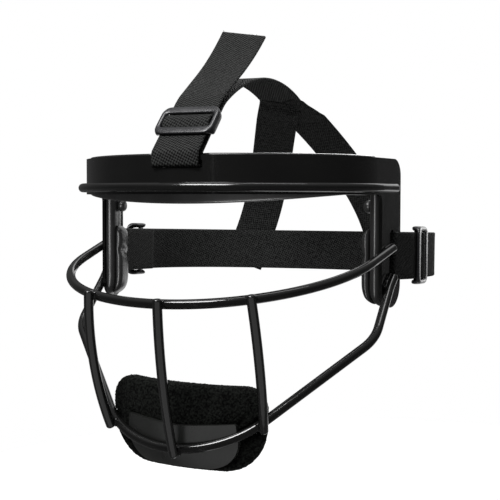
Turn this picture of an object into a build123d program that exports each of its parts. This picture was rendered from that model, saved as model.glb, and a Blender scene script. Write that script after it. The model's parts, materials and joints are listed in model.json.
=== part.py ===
from build123d import *
from math import asin, atan, atan2, cos, degrees, radians, sin, sqrt, tan
import os

# Softball face guard, in millimetres and degrees. The origin is the centre of the head opening, +Z is up
# and the mask looks along -Y. Left and right are the wearer's, so left is +X.

# Stock sizes: wire, sheet and webbing
wire_diameter = 4.76
sheet_thickness = 1.8
webbing_width = 25.4
webbing_thickness = 1.5

# Clearances and joins
soft_gap = 0.3
weld_bite = 0.35
bar_bite = 0.5
wire_end_round = 1.4
cut_overrun = 6.0

# Brow band, from its outer face
band_reach = 101.0
band_bottom = 15.5
band_height = 19.0
band_front_radius = 88.8
band_front_turn = 51.5
band_corner_radius = 59.9

# Temple plates at the ends of the band
plate_splay = 6.0
plate_lead = 7.5
plate_length = 26.0
plate_drop = 59.5
plate_foot_radius = 12.6
plate_crest_radius = 9.0
plate_notch_radius = 4.0

# Strap slots in the sheet
brow_slot_width = 27.4
brow_slot_height = 4.0
brow_slot_rise = 12.7
temple_slot_width = 3.2
temple_slot_height = 27.4
temple_slot_setback = 14.2
temple_slot_drop = 18.5
slot_corner_radius = 1.0

# Brow wire, on the outer face of the band
brow_wire_rise = 3.5
brow_wire_tail = 14.5

# Cheek wire, bent in a sloping plane
cheek_wire_reach = 121.0
cheek_wire_drop = 27.8
cheek_wire_slope = 13.1
cheek_wire_weld = 11.2

# Chin wire, bent in a steeper plane
chin_wire_reach = 105.0
chin_wire_drop = 42.5
chin_wire_slope = 42.6
chin_wire_weld = 12.5
chin_wire_straight = 9.0
chin_wire_half_span = 85.6
chin_wire_side = 44.2
chin_front_radius = 54.6
chin_corner_radius = 22.0
chin_side_radius = 26.0

# Upright bars, welded in front of both wires
bar_bow = 3.1
bar_head = 3.9
bar_foot = 2.6
bar_cheek_pitch = 40.6
bar_chin_pitch = 38.3
bar_offset = 2.2

# Brow pad
pad_round = 2.4
brow_pad_thickness = 7.0
brow_pad_rise = 1.0
brow_pad_drop = 4.7
brow_pad_bow = 4.5
brow_pad_bow_half_width = 75.0
brow_pad_end_gap = 2.0
brow_relief_depth = 4.4
brow_relief_margin = 0.7

# Temple pads and the shorter inner pads on them
temple_pad_thickness = 5.6
temple_pad_depth = 11.8
temple_pad_top_gap = 3.5
temple_pad_foot_lift = 1.2
temple_pad_foot_radius = 8.0
temple_pad_corner_radius = 3.0
inner_pad_thickness = 4.4
inner_pad_height = 39.6
inner_pad_inset = 0.6
inner_pad_lift = 1.0
inner_pad_corner_radius = 4.6
inner_pad_round = 1.8

# Pad studs
stud_radius = 4.3
stud_height = 4.6
stud_round = 2.4
stud_setback = 6.0
stud_drop = 6.3

# Chin cup, a shell with a groove for the chin wire
shell_top_angle = 24.0
shell_bottom_angle = 38.0
shell_sweep = 120.0
chin_set_offset = 1.5
chin_set_roll = 1.7
cup_thickness = 2.8
cup_groove_depth = 1.2
cup_groove_gap = 0.15
cup_radius = 64.0
cup_wall_radius = 70.0
cup_bulge_rise = 18.0
cup_half_width = 31.5
cup_waist_half_width = 29.0
cup_rise = 11.6
cup_ear_rise = 2.2
cup_drop = 9.6
cup_corner_radius = 14.5
cup_dip_radius = 30.0
cup_ear_radius = 0.8

# Chin pad
chin_pad_thickness = 9.0
chin_pad_radius = 84.0
chin_pad_wall_radius = 90.0
chin_pad_bulge_rise = 21.0
chin_pad_set = 0.6
chin_pad_half_width = 45.6
chin_pad_rise = 31.6
chin_pad_drop = 11.6
chin_pad_top_radius = 11.5
chin_pad_foot_radius = 31.0
chin_pad_round = 2.6

# Webbing bends and layers
fold_radius = 1.2
layer_pitch = 3.7

# Brow end of the crown strap
strap_lean_angle = 46.0
strap_lean_radius = 3.0
strap_rise_gap = 0.2
brow_doubled_run = 34.5

# Crown strap over the head, and its free tail
crown_ease_radius = 35.0
crown_ease_turn = 15.5
crown_radius = 130.0
crown_turn = 58.1
tail_dip_radius = 40.0
tail_dip_turn = 12.0
tail_run = 20.0
tail_curl_radius = 172.0
tail_curl_turn = 14.0

# Rear strap, in its own slightly falling plane
rear_strap_fall_angle = 1.7
rear_reach = 109.5
rear_stand_off = 7.19
rear_corner_radius = 60.0
rear_corner_turn = 73.0
rear_flare_angle = 17.0
rear_flare_radius = 15.0
rear_tuck_turn = 34.0
rear_tuck_radius = 2.6
rear_tuck_gap = 0.4
rear_tail = 36.0

# Branches of the V between the crown strap and the rear strap
branch_lap = 22.0
branch_lap_gap = 0.6
branch_drift = 10.0
branch_foot_share = 0.89
branch_foot_length = 27.0
branch_foot_tilt = 20.0
branch_pull = 82.0
branch_head_yaw = 28.0
branch_head_dip = 36.0
lap_shares = (1, 0.5, 0)
curve_shares = (0.2, 0.4, 0.6, 0.8)

# Tri-glide sliders
slider_width = 32.0
slider_length = 18.6
slider_bar = 4.2
slider_bar_thickness = 1.9
slider_centre_bar = 4.6
slider_corner_radius = 3.4
slider_edge_round = 0.9
slider_side_gap = 0.45
brow_slider_place = 19.7
left_slider_place = 13.0
right_slider_place = 23.4

wire_radius = wire_diameter / 2
webbing_half = webbing_thickness / 2
band_top = band_bottom + band_height
plate_bottom = band_bottom - plate_drop
plate_heading = 90 - plate_splay
temple_slot_level = band_bottom - temple_slot_drop - temple_slot_height / 2
pad_back = sheet_thickness + soft_gap
brow_pad_face = pad_back + brow_pad_thickness
temple_pad_face = pad_back + temple_pad_thickness
layer_offset = layer_pitch / 2


def unit(heading):
    """Unit vector in the XY plane at a heading in degrees from +X."""
    return Vector(cos(radians(heading)), sin(radians(heading)))


def straight(length):
    """A straight step of a bent path."""
    return (length, 0)


def bend(radius, turn):
    """A bent step: its length on the middle line and its turn, positive to the left."""
    return (radius * radians(abs(turn)), turn)


def half_step(point, heading, length, turn):
    """Place and heading after half of a step."""
    reach = length / 2
    if turn:
        reach = 2 * length / radians(abs(turn)) * sin(radians(abs(turn) / 4))
    return point + unit(heading + turn / 4) * reach, heading + turn / 2


def walk(start, heading, steps):
    """Place and heading after all the steps."""
    point = Vector(*start)
    for length, turn in steps:
        for _ in range(2):
            point, heading = half_step(point, heading, length, turn)
    return point, heading


def side_edges(start, heading, steps, aside):
    """Edges of the line that runs beside a stepped path, at a distance to its left."""
    point, edges = Vector(*start), []
    for length, turn in steps:
        middle, middle_heading = half_step(point, heading, length, turn)
        end, end_heading = half_step(middle, middle_heading, length, turn)
        places = [
            point + unit(heading + 90) * aside,
            middle + unit(middle_heading + 90) * aside,
            end + unit(end_heading + 90) * aside,
        ]
        edges.append(ThreePointArc(*places) if turn else Line(places[0], places[2]))
        point, heading = end, end_heading
    return edges


def ribbon(start, heading, steps, left, right):
    """Face between two lines beside a stepped path."""
    left_edges = side_edges(start, heading, steps, left)
    right_edges = side_edges(start, heading, steps, right)
    caps = [
        Line(left_edges[0] @ 0, right_edges[0] @ 0),
        Line(left_edges[-1] @ 1, right_edges[-1] @ 1),
    ]
    return make_face(left_edges + right_edges + caps)


def slab(face, low, high):
    """Solid of an XY face between two heights."""
    return Pos(0, 0, low) * extrude(face, high - low)


def both_sides(solid):
    """A left hand solid and its right hand twin."""
    return solid, mirror(solid, about=Plane.YZ)


def rounded_rod(path):
    """Round wire along a flat path, with its two ends rounded."""
    rod = sweep(Plane(origin=path @ 0, z_dir=path % 0) * Circle(wire_radius), path)
    ends = rod.faces().filter_by(GeomType.PLANE).edges()
    return fillet(ends, wire_end_round)


# Plan of the band: half of it runs from the front to the rear edge of a temple plate
band_start = (0, -band_reach)
corner_turn = plate_heading - band_front_turn
band_bends = [bend(band_front_radius, band_front_turn), bend(band_corner_radius, corner_turn)]
plate_front = walk(band_start, 0, band_bends + [straight(plate_lead)])[0]
plate_rear = plate_front + unit(plate_heading) * plate_length


def plate_point(setback, inset):
    """Plan point on the left temple plate, behind its front edge and inwards of its outer face."""
    return plate_front + unit(plate_heading) * setback + unit(plate_heading + 90) * inset


def plate_plane(setback, inset, height):
    """Plane of the left temple plate: x runs to the rear, y up and z outwards."""
    place = plate_point(setback, inset)
    return Plane(
        origin=(place.X, place.Y, height),
        x_dir=unit(plate_heading),
        z_dir=unit(plate_heading - 90),
    )


def band_steps(leg):
    """Steps of the whole band plan, with a straight leg at each end."""
    corner = bend(band_corner_radius, corner_turn)
    return [straight(leg), corner, bend(band_front_radius, 2 * band_front_turn), corner, straight(leg)]


def band_face(leg, outer_inset, inner_inset):
    """Plan face between two insets from the outer face of the band."""
    end = walk(band_start, 0, band_bends + [straight(leg)])[0]
    return ribbon((-end.X, end.Y), -plate_heading, band_steps(leg), outer_inset, inner_inset)


def make_face_plate():
    """Stamped sheet: the brow band, a temple plate at each end, and three strap slots."""
    sheet = slab(band_face(plate_lead + plate_length, 0, sheet_thickness), plate_bottom, band_top)
    front = -band_reach - cut_overrun
    outline = FilletPolyline(
        (front, band_bottom),
        (plate_front.Y, band_bottom),
        (plate_front.Y, plate_bottom),
        (plate_rear.Y, plate_bottom),
        (plate_rear.Y, band_top),
        (front, band_top),
        radius=(0, plate_notch_radius, plate_foot_radius, plate_foot_radius, plate_crest_radius, 0),
        close=True,
    )
    side = Plane.YZ * make_face(outline)
    sheet = sheet & extrude(side, band_reach, both=True)
    slot = RectangleRounded(brow_slot_width, brow_slot_height, slot_corner_radius)
    brow_slot_level = band_bottom + brow_slot_rise + brow_slot_height / 2
    brow_slot = extrude(Plane.XZ.offset(band_reach) * Pos(0, brow_slot_level) * slot, cut_overrun, both=True)
    slot = RectangleRounded(temple_slot_width, temple_slot_height, slot_corner_radius)
    slot_plane = plate_plane(temple_slot_setback, 0, temple_slot_level)
    temple_slot = extrude(slot_plane * slot, cut_overrun, both=True)
    for cut in (brow_slot, *both_sides(temple_slot)):
        sheet = sheet - cut
    return sheet


def make_brow_wire():
    """Wire along the lower edge of the band, ending on the temple plates."""
    leg = plate_lead + brow_wire_tail
    end = walk(band_start, 0, band_bends + [straight(leg)])[0]
    edges = side_edges((-end.X, end.Y), -plate_heading, band_steps(leg), weld_bite - wire_radius)
    return Pos(0, 0, band_bottom + brow_wire_rise) * rounded_rod(Wire(edges))


def wire_plane(weld, drop, slope):
    """Sloping plane of a cage wire, through its ends on the temple plates, and the left end's X."""
    end = plate_point(weld, weld_bite - wire_radius)
    tilt = radians(slope)
    plane = Plane(
        origin=(0, end.Y, band_bottom - drop),
        x_dir=(1, 0, 0),
        z_dir=(0, -sin(tilt), cos(tilt)),
    )
    return plane, end


def leg_heading(slope):
    """Heading along the temple plate, from front to rear, as drawn in a sloping plane."""
    return 90 - degrees(atan(tan(radians(plate_splay)) * cos(radians(slope))))


cheek_plane, cheek_end = wire_plane(cheek_wire_weld, cheek_wire_drop, cheek_wire_slope)
cheek_front = (cheek_wire_reach + cheek_end.Y) / cos(radians(cheek_wire_slope))
cheek_splay = radians(90 - leg_heading(cheek_wire_slope))
cheek_radius = (cheek_end.X * cos(cheek_splay) - cheek_front * sin(cheek_splay)) / (1 - sin(cheek_splay))

chin_plane, chin_end = wire_plane(chin_wire_weld, chin_wire_drop, chin_wire_slope)
chin_front = (chin_wire_reach + chin_end.Y) / cos(radians(chin_wire_slope))


def front_point(plane, front, radius, aside):
    """Point on a wire's front arc, at a distance to the left of its middle."""
    return plane.from_local_coords(Vector(aside, radius - front - sqrt(radius**2 - aside**2)))


def make_cheek_wire():
    """Upper cage wire: one front arc and two legs that lie along the temple plates."""
    turn = leg_heading(cheek_wire_slope)
    centre = Vector(0, cheek_radius - cheek_front)
    touch = centre + unit(turn - 90) * cheek_radius
    edges = [
        Line((-cheek_end.X, 0), (-touch.X, touch.Y)),
        ThreePointArc((-touch.X, touch.Y), (0, -cheek_front), (touch.X, touch.Y)),
        Line((touch.X, touch.Y), (cheek_end.X, 0)),
    ]
    return cheek_plane.location * rounded_rod(Wire(edges))


def chin_wire_path():
    """Middle line of the lower cage wire: along each plate, out to a corner, and round the chin."""
    weld = Vector(chin_end.X, 0) - unit(leg_heading(chin_wire_slope)) * chin_wire_straight
    corner = Vector(chin_wire_half_span, -chin_wire_side)
    to_centre = Vector(0, chin_front_radius - chin_front) - corner
    heading = degrees(atan2(to_centre.Y, to_centre.X)) + degrees(asin(chin_front_radius / to_centre.length))
    apex = corner.Y - corner.X * tan(radians(heading))
    points = [(chin_end.X, 0), (weld.X, weld.Y), (corner.X, corner.Y)]
    mirrored = [(-x, y) for x, y in reversed(points)]
    radii = (chin_side_radius, chin_corner_radius, chin_front_radius, chin_corner_radius, chin_side_radius)
    return Wire(FilletPolyline(*points, (0, apex), *mirrored, radius=radii).edges())


def make_chin_wire():
    """Lower cage wire."""
    return chin_plane.location * rounded_rod(chin_wire_path())


def chin_wire_channel(gap):
    """Space that the chin wire takes, with a gap round it."""
    path = chin_wire_path()
    section = Plane(origin=path @ 0, z_dir=path % 0) * Circle(wire_radius + gap)
    return chin_plane.location * sweep(section, path)


def make_bar(pitches):
    """Upright bar, bowed forwards, that crosses in front of both cage wires, some pitches to the left."""
    ends, outward = [], []
    spots = (
        (cheek_plane, cheek_front, cheek_radius, bar_offset + pitches * bar_cheek_pitch),
        (chin_plane, chin_front, chin_front_radius, bar_offset + pitches * bar_chin_pitch),
    )
    middles = [front_point(*spot) for spot in spots]
    chord = (middles[1] - middles[0]).normalized()
    for (plane, front, radius, aside), middle in zip(spots, middles):
        along = front_point(plane, front, radius, aside + wire_radius) - middle
        normal = chord.cross(along.normalized()).normalized()
        outward.append(normal if normal.Y < 0 else normal * -1)
        ends.append(middle + outward[-1] * (wire_diameter - bar_bite))
    chord = ends[1] - ends[0]
    span = chord.length
    along = chord.normalized()
    bulge = outward[0] + outward[1]
    bulge = (bulge - along * bulge.dot(along)).normalized()
    radius = (span * span / 4 + bar_bow * bar_bow) / (2 * bar_bow)
    centre = (ends[0] + ends[1]) / 2 + bulge * (bar_bow - radius)
    half = asin(span / 2 / radius)
    places = []
    for angle in (-half - bar_head / radius, 0, half + bar_foot / radius):
        places.append(centre + bulge * (radius * cos(angle)) + along * (radius * sin(angle)))
    return rounded_rod(Wire([ThreePointArc(*places)]))


def make_brow_pad():
    """Foam pad inside the band, bowed lower edge, with room for the strap behind the forehead slot."""
    low = band_bottom - brow_pad_drop
    high = band_top + brow_pad_rise
    pad = slab(band_face(plate_lead, pad_back, brow_pad_face), low, high)
    wide = band_reach
    bow_radius = (brow_pad_bow_half_width**2 + brow_pad_bow**2) / (2 * brow_pad_bow)
    rise = bow_radius - sqrt(bow_radius**2 - wide**2)
    profile = make_face([
        ThreePointArc((-wide, low + rise), (0, low), (wide, low + rise)),
        Line((wide, low + rise), (wide, high)),
        Line((wide, high), (-wide, high)),
        Line((-wide, high), (-wide, low + rise)),
    ])
    front_view = extrude(Plane.XZ * profile, band_reach)
    pad = pad & front_view
    keep = -plate_front.Y + brow_pad_end_gap
    pad = pad & (Pos(0, -keep - band_reach / 2, band_bottom) * Box(3 * band_reach, band_reach, 4 * band_height))
    pad = fillet(pad.edges().filter_by(lambda edge: edge.length > brow_pad_thickness + pad_round), pad_round)
    relief_width = webbing_width + 2 * brow_relief_margin
    relief = Box(relief_width, 2 * brow_relief_depth, band_height, align=(Align.CENTER, Align.CENTER, Align.MIN))
    floor = band_bottom + brow_slot_rise - brow_relief_margin
    return pad - Pos(0, sheet_thickness - band_reach, floor) * relief


def temple_block(inset, thickness, near, far, bottom, top, foot_radius, corner_radius, face_round):
    """Pad on the left temple plate, rounded at its corners and round its inner face."""
    outline = FilletPolyline(
        (near, top), (near, bottom), (far, bottom), (far, top),
        radius=(corner_radius, foot_radius, corner_radius, corner_radius),
        close=True,
    )
    block = extrude(make_face(outline), thickness)
    block = fillet(block.faces().sort_by(Axis.Z)[0].edges(), face_round)
    return plate_plane(0, inset + thickness, 0).location * block


def make_temple_pad():
    """Long pad down the front half of the left temple plate."""
    return temple_block(
        pad_back, temple_pad_thickness, 0, temple_pad_depth,
        plate_bottom + temple_pad_foot_lift, band_top - temple_pad_top_gap,
        temple_pad_foot_radius, temple_pad_corner_radius, pad_round,
    )


def make_inner_pad():
    """Shorter pad on the left temple pad."""
    bottom = plate_bottom + inner_pad_lift + temple_pad_foot_lift
    return temple_block(
        temple_pad_face + soft_gap, inner_pad_thickness, inner_pad_inset, temple_pad_depth - inner_pad_inset,
        bottom, bottom + inner_pad_height,
        inner_pad_corner_radius, inner_pad_corner_radius, inner_pad_round,
    )


def make_stud():
    """Rounded stud on the left temple pad."""
    stud = Cylinder(stud_radius, stud_height, align=(Align.CENTER, Align.CENTER, Align.MIN))
    stud = fillet(stud.edges().sort_by(Axis.Z)[:1], stud_round)
    place = plate_plane(stud_setback, temple_pad_face + stud_height, band_bottom - stud_drop)
    return place.location * stud


def dished_shell(radius, wall_radius, bulge_height, asides, middle_y):
    """Wide shell, curved in plan and in height, round the chin."""
    start = Vector(radius - wall_radius, bulge_height) + unit(shell_top_angle) * wall_radius
    steps = [bend(wall_radius, -shell_top_angle - shell_bottom_angle)]
    profile = Plane.XZ * ribbon((start.X, start.Y), shell_top_angle - 90, steps, *asides)
    shell = revolve(profile, Axis.Z, shell_sweep)
    return Pos(0, middle_y, 0) * Rot(0, 0, -90 - shell_sweep / 2) * shell


chin_wire_height = chin_plane.from_local_coords(Vector(0, -chin_front)).Z
cup_bulge_height = chin_wire_height + cup_bulge_rise
cup_axis = (wire_radius - cup_groove_depth - chin_wire_reach
            + cup_radius - cup_wall_radius + sqrt(cup_wall_radius**2 - cup_bulge_rise**2))
cup_back = (-chin_wire_reach + wire_radius - cup_groove_depth) + cup_thickness


def set_on_wire(solid):
    """Chin piece moved to where it sits on the chin wire, a little aside and rolled."""
    turn = Rot(0, chin_set_roll, 0)
    return Pos(chin_set_offset, 0, chin_wire_height) * turn * Pos(0, 0, -chin_wire_height) * solid


def cup_blank(gap):
    """Cup shell before its groove, grown all over by a gap."""
    shell = dished_shell(cup_radius, cup_wall_radius, cup_bulge_height, (gap, -cup_thickness - gap), cup_axis)
    top = chin_wire_height + cup_rise
    bottom = chin_wire_height - cup_drop
    outline = FilletPolyline(
        (0, top), (-cup_waist_half_width, top + cup_ear_rise), (-cup_half_width, bottom),
        (cup_half_width, bottom), (cup_waist_half_width, top + cup_ear_rise),
        radius=(cup_dip_radius, cup_ear_radius, cup_corner_radius, cup_corner_radius, cup_ear_radius),
        close=True,
    )
    face = make_face(outline)
    if gap:
        face = offset(face, gap)
    return set_on_wire(shell & extrude(Plane.XZ * face, chin_wire_reach + cut_overrun))


def make_chin_cup():
    """Moulded shell behind the chin wire, with pointed upper corners and a groove for the wire."""
    return cup_blank(0) - chin_wire_channel(cup_groove_gap)


def make_chin_pad():
    """Fleece faced pad behind the cup, dented where the cup and the wire press on it."""
    front_face = cup_back + chin_pad_set
    drop = chin_pad_wall_radius - sqrt(chin_pad_wall_radius**2 - chin_pad_bulge_rise**2)
    shell = dished_shell(
        chin_pad_radius, chin_pad_wall_radius, chin_wire_height + chin_pad_bulge_rise,
        (0, -chin_pad_thickness), front_face + chin_pad_radius - drop,
    )
    middle = chin_wire_height + (chin_pad_rise - chin_pad_drop) / 2
    top = (chin_pad_rise + chin_pad_drop) / 2
    outline = FilletPolyline(
        (-chin_pad_half_width, top), (-chin_pad_half_width, -top),
        (chin_pad_half_width, -top), (chin_pad_half_width, top),
        radius=(chin_pad_top_radius, chin_pad_foot_radius, chin_pad_foot_radius, chin_pad_top_radius),
        close=True,
    )
    front_view = extrude(Plane.XZ * Pos(0, middle) * make_face(outline), chin_wire_reach + cut_overrun)
    pad = shell & front_view
    pad = set_on_wire(fillet(pad.edges(), chin_pad_round))
    return pad - cup_blank(soft_gap) - chin_wire_channel(soft_gap)


# Doubled webbing at the brow: the front layer rises before the band, the rear layer behind it
brow_fold_height = band_bottom + brow_slot_rise + soft_gap + webbing_half
front_layer_y = -band_reach - soft_gap - webbing_half
sheet_sag = band_front_radius - sqrt(band_front_radius**2 - (webbing_width / 2) ** 2)
rear_layer_y = -band_reach + sheet_thickness + sheet_sag + soft_gap + webbing_half
lean_start = band_top + strap_rise_gap
front_corner = lean_start + strap_lean_radius * tan(radians(strap_lean_angle / 2))
lean_along = Vector(sin(radians(strap_lean_angle)), cos(radians(strap_lean_angle)))
lean_back = Vector(cos(radians(strap_lean_angle)), -sin(radians(strap_lean_angle)))
rear_corner = front_corner + ((rear_layer_y - front_layer_y) * lean_back.X - layer_pitch) / -lean_back.Y
rear_start = rear_corner - strap_lean_radius * tan(radians(strap_lean_angle / 2))
front_lean_end = (
    Vector(front_layer_y, front_corner) + lean_along * (strap_lean_radius * tan(radians(strap_lean_angle / 2)))
)
brow_zone_start = front_lean_end + lean_back * layer_offset
brow_slider_centre = brow_zone_start + lean_along * brow_slider_place


def across_webbing(face):
    """Webbing of full width from its side view, drawn in the YZ plane."""
    return extrude(Plane.YZ * face, webbing_width / 2, both=True)


def brow_layer(side_y, rise, doubled, rest, facing):
    """Steps of one webbing layer from the middle of the forehead slot: in front 1, behind -1."""
    sheet_middle = sheet_thickness / 2 - band_reach
    return [
        straight(abs(side_y - sheet_middle) - fold_radius),
        bend(fold_radius, -90 * facing),
        straight(rise - brow_fold_height - fold_radius),
        bend(strap_lean_radius, -strap_lean_angle),
        straight(doubled),
        *rest,
    ]


def make_crown_strap():
    """Free tail, doubled run, fold through the forehead slot, second run and the way over the crown."""
    middle = (sheet_thickness / 2 - band_reach, brow_fold_height)
    tail = [
        bend(tail_dip_radius, -tail_dip_turn),
        straight(tail_run),
        bend(tail_curl_radius, tail_curl_turn),
    ]
    crown = [bend(crown_ease_radius, -crown_ease_turn), bend(crown_radius, -crown_turn)]
    rear_lean_end = Vector(rear_layer_y, rear_corner) + lean_along * (
        strap_lean_radius * tan(radians(strap_lean_angle / 2)))
    zone_end = brow_zone_start + lean_along * brow_doubled_run
    rear_run = (zone_end - rear_lean_end).dot(lean_along)
    front = brow_layer(front_layer_y, lean_start, brow_doubled_run, tail, 1)
    rear = brow_layer(rear_layer_y, rear_start, rear_run, crown, -1)
    front_side = across_webbing(ribbon(middle, 180, front, webbing_half, -webbing_half))
    rear_side = across_webbing(ribbon(middle, 0, rear, webbing_half, -webbing_half))
    end, end_heading = walk(middle, 0, rear)
    return front_side + rear_side, end, end_heading


# Rear strap plan, drawn in a plane that falls slightly to the rear
slot_middle = plate_point(temple_slot_setback, sheet_thickness / 2)
fall = radians(rear_strap_fall_angle)
rear_plane = Plane(
    origin=(0, 0, temple_slot_level + slot_middle.Y * tan(fall)),
    x_dir=(1, 0, 0),
    z_dir=(0, sin(fall), cos(fall)),
)
rear_half_width = slot_middle.X + rear_stand_off
rear_arc_turn = 90 - rear_corner_turn
rear_radius = ((rear_half_width - rear_corner_radius * (1 - cos(radians(rear_corner_turn))))
               / sin(radians(rear_arc_turn)))
rear_layer_middle = rear_half_width - layer_offset


def rear_half_steps():
    """Steps of half the rear strap, from behind the head to the tail inside the left temple plate."""
    head = [bend(rear_radius, -rear_arc_turn), bend(rear_corner_radius, -rear_corner_turn)]
    flare = bend(rear_flare_radius, -rear_flare_angle)
    into_slot = bend(fold_radius, rear_flare_angle + 90 - plate_splay - 180)
    slot_run = straight(sheet_thickness + 2 * (soft_gap + webbing_half) - 2 * fold_radius)
    half_slot = straight(slot_run[0] / 2)
    fixed = head + [flare, into_slot, half_slot]
    gap = slot_middle - walk((0, rear_reach), 0, fixed)[0]
    slant = unit(-90 - rear_flare_angle)
    slant_run = gap.X / slant.X
    side_run = slant_run * slant.Y - gap.Y
    outside = head + [straight(side_run), flare, straight(slant_run), into_slot, slot_run]
    back = bend(fold_radius, -90)
    plate_run = straight(plate_length - temple_slot_setback - fold_radius + rear_tuck_gap)
    tuck = bend(rear_tuck_radius, -rear_tuck_turn)
    untuck = bend(rear_tuck_radius, rear_tuck_turn + plate_splay)
    inside = [back, plate_run, tuck]
    here, heading = walk((0, rear_reach), 0, outside + inside + [untuck])
    cross_run = (rear_layer_middle - layer_offset - here.X) / cos(radians(heading - rear_tuck_turn - plate_splay))
    inside = inside + [straight(cross_run), untuck]
    zone_start = walk((0, rear_reach), 0, outside + inside)[0].Y
    return outside + inside + [straight(rear_tail)], zone_start


def make_rear_strap():
    """One length of webbing round the back of the head, with each end folded through a temple slot."""
    steps = rear_half_steps()[0]
    face = ribbon((0, rear_reach), 0, steps, webbing_half, -webbing_half)
    left, right = both_sides(slab(face, -webbing_width / 2, webbing_width / 2))
    return rear_plane.location * (left + right)


rear_zone_start = rear_half_steps()[1]


def station(middle, along, level):
    """Cross section of a strap: its middle, its direction, and a level direction in its surface."""
    outward = level.cross(along).normalized()
    return Plane(origin=middle, x_dir=along.cross(outward), z_dir=along) * Rectangle(
        webbing_width, webbing_thickness)


def branch_middles(crown_end, crown_heading, depth):
    """Middle line of the left branch: under the crown strap, down, and onto the rear strap."""
    inner_radius = crown_radius - depth
    inward = unit(crown_heading - 90)
    centre = crown_end + inward * crown_radius
    middles = []
    for share in lap_shares:
        back = branch_lap * share
        place = centre + unit(crown_heading + 90 + degrees(back / crown_radius)) * inner_radius
        middles.append(Vector(branch_drift * (1 - share), place.X, place.Y))
    foot_angle = asin(branch_foot_share * sin(radians(rear_arc_turn)))
    outer = rear_radius + webbing_thickness + soft_gap
    rear_centre = rear_reach - rear_radius
    foot = rear_plane.from_local_coords(
        Vector(outer * sin(foot_angle), rear_centre + outer * cos(foot_angle), webbing_width / 2))
    tilt = radians(branch_foot_tilt)
    level = Vector(cos(foot_angle), -sin(foot_angle), 0)
    down = level * sin(tilt) - Vector(0, 0, cos(tilt))
    yaw, dip = radians(branch_head_yaw), radians(branch_head_dip)
    leave = Vector(sin(yaw) * cos(dip), cos(yaw) * cos(dip), -sin(dip))
    head = middles[-1]
    for share in curve_shares:
        rest = 1 - share
        blend = (head * (rest**2 * (1 + 2 * share)) + foot * (share**2 * (3 - 2 * share))
                 + leave * (branch_pull * share * rest**2) - down * (branch_pull * share**2 * rest))
        middles.append(blend)
    middles += [foot, foot + down * (branch_foot_length / 2), foot + down * branch_foot_length]
    return middles, level


def make_branch(crown_end, crown_heading, depth):
    """Left branch strap of the V, lofted through its cross sections."""
    middles, foot_level = branch_middles(crown_end, crown_heading, depth)
    count = len(middles) - 1
    sections = []
    for index, middle in enumerate(middles):
        before = middles[max(index - 1, 0)]
        after = middles[min(index + 1, count)]
        share = min(1, max(0, (index - 2) / (count - 4)))
        level = Vector(1, 0, 0) * (1 - share) + foot_level * share
        sections.append(station(middle, (after - before).normalized(), level))
    return loft(sections)


def make_slider():
    """Tri-glide: side rails, two outer bars before the webbing, and a centre bar between its layers."""
    inner_width = webbing_width + 2 * slider_side_gap
    centre_half = layer_offset - webbing_half - soft_gap
    bar_back = layer_offset + webbing_half + soft_gap
    bar_front = bar_back + slider_bar_thickness
    ring = slab(RectangleRounded(slider_width, slider_length, slider_corner_radius), -centre_half, bar_front)
    window = slab(Rectangle(inner_width, slider_length - 2 * slider_bar), -centre_half, bar_front)
    ring = ring - window
    ring = fillet(ring.faces().sort_by(Axis.Z)[-1].edges(), slider_edge_round)
    passage = slab(Rectangle(inner_width, slider_length), -centre_half, bar_back)
    bar = slab(Rectangle(inner_width, slider_centre_bar), -centre_half, centre_half)
    return ring - passage + bar


def slider_places():
    """Planes of the brow slider and the left slider, and of a slider on the right, mirrored later."""
    outward = lean_back * -1
    brow = Plane(
        origin=(0, brow_slider_centre.X, brow_slider_centre.Y),
        x_dir=(1, 0, 0),
        z_dir=(0, outward.X, outward.Y),
    )
    sides = []
    for place in (left_slider_place, right_slider_place):
        centre = Vector(rear_layer_middle, rear_zone_start + place, 0)
        sides.append(rear_plane.location * Plane(origin=centre, x_dir=(0, 0, 1), z_dir=(1, 0, 0)).location)
    return brow.location, sides[0], sides[1]


def build_parts():
    """Every sub-part by name."""
    parts = {"face_plate": make_face_plate()}
    parts["brow_wire"] = make_brow_wire() - parts["face_plate"]
    cheek_wire = make_cheek_wire()
    chin_wire = make_chin_wire()
    bars = {"centre_bar": make_bar(0), "left_bar": make_bar(1), "right_bar": make_bar(-1)}
    for name, bar in bars.items():
        parts[name] = bar - cheek_wire - chin_wire
    parts["cheek_wire"] = cheek_wire - parts["face_plate"]
    parts["chin_wire"] = chin_wire - parts["face_plate"]
    parts["brow_pad"] = make_brow_pad()
    parts["left_temple_pad"], parts["right_temple_pad"] = both_sides(make_temple_pad())
    parts["left_inner_pad"], parts["right_inner_pad"] = both_sides(make_inner_pad())
    parts["pad_studs"] = Compound(list(both_sides(make_stud())))
    parts["chin_cup"] = make_chin_cup()
    parts["chin_pad"] = make_chin_pad()
    crown_strap, crown_end, crown_heading = make_crown_strap()
    parts["crown_strap"] = crown_strap
    layer = webbing_thickness + branch_lap_gap
    parts["left_branch_strap"] = make_branch(crown_end, crown_heading, layer)
    parts["right_branch_strap"] = mirror(make_branch(crown_end, crown_heading, 2 * layer), about=Plane.YZ)
    parts["rear_strap"] = make_rear_strap()
    brow, left, right = slider_places()
    slider = make_slider()
    parts["brow_slider"] = brow * slider
    parts["left_slider"] = left * slider
    parts["right_slider"] = mirror(right * slider, about=Plane.YZ)
    return parts


if __name__ == "__main__":
    os.makedirs("parts", exist_ok=True)
    for name, part in build_parts().items():
        export_step(part, f"parts/{name}.step")
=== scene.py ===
"""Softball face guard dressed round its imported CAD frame: steel cage, vinyl pads, chin pad, harness."""

from __future__ import annotations

import json
import logging
import math
from collections.abc import Sequence
from dataclasses import dataclass, field
from enum import Enum

import bmesh
import bpy
import numpy as np
from mathutils import Matrix, Vector
from mathutils.bvhtree import BVHTree

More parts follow.
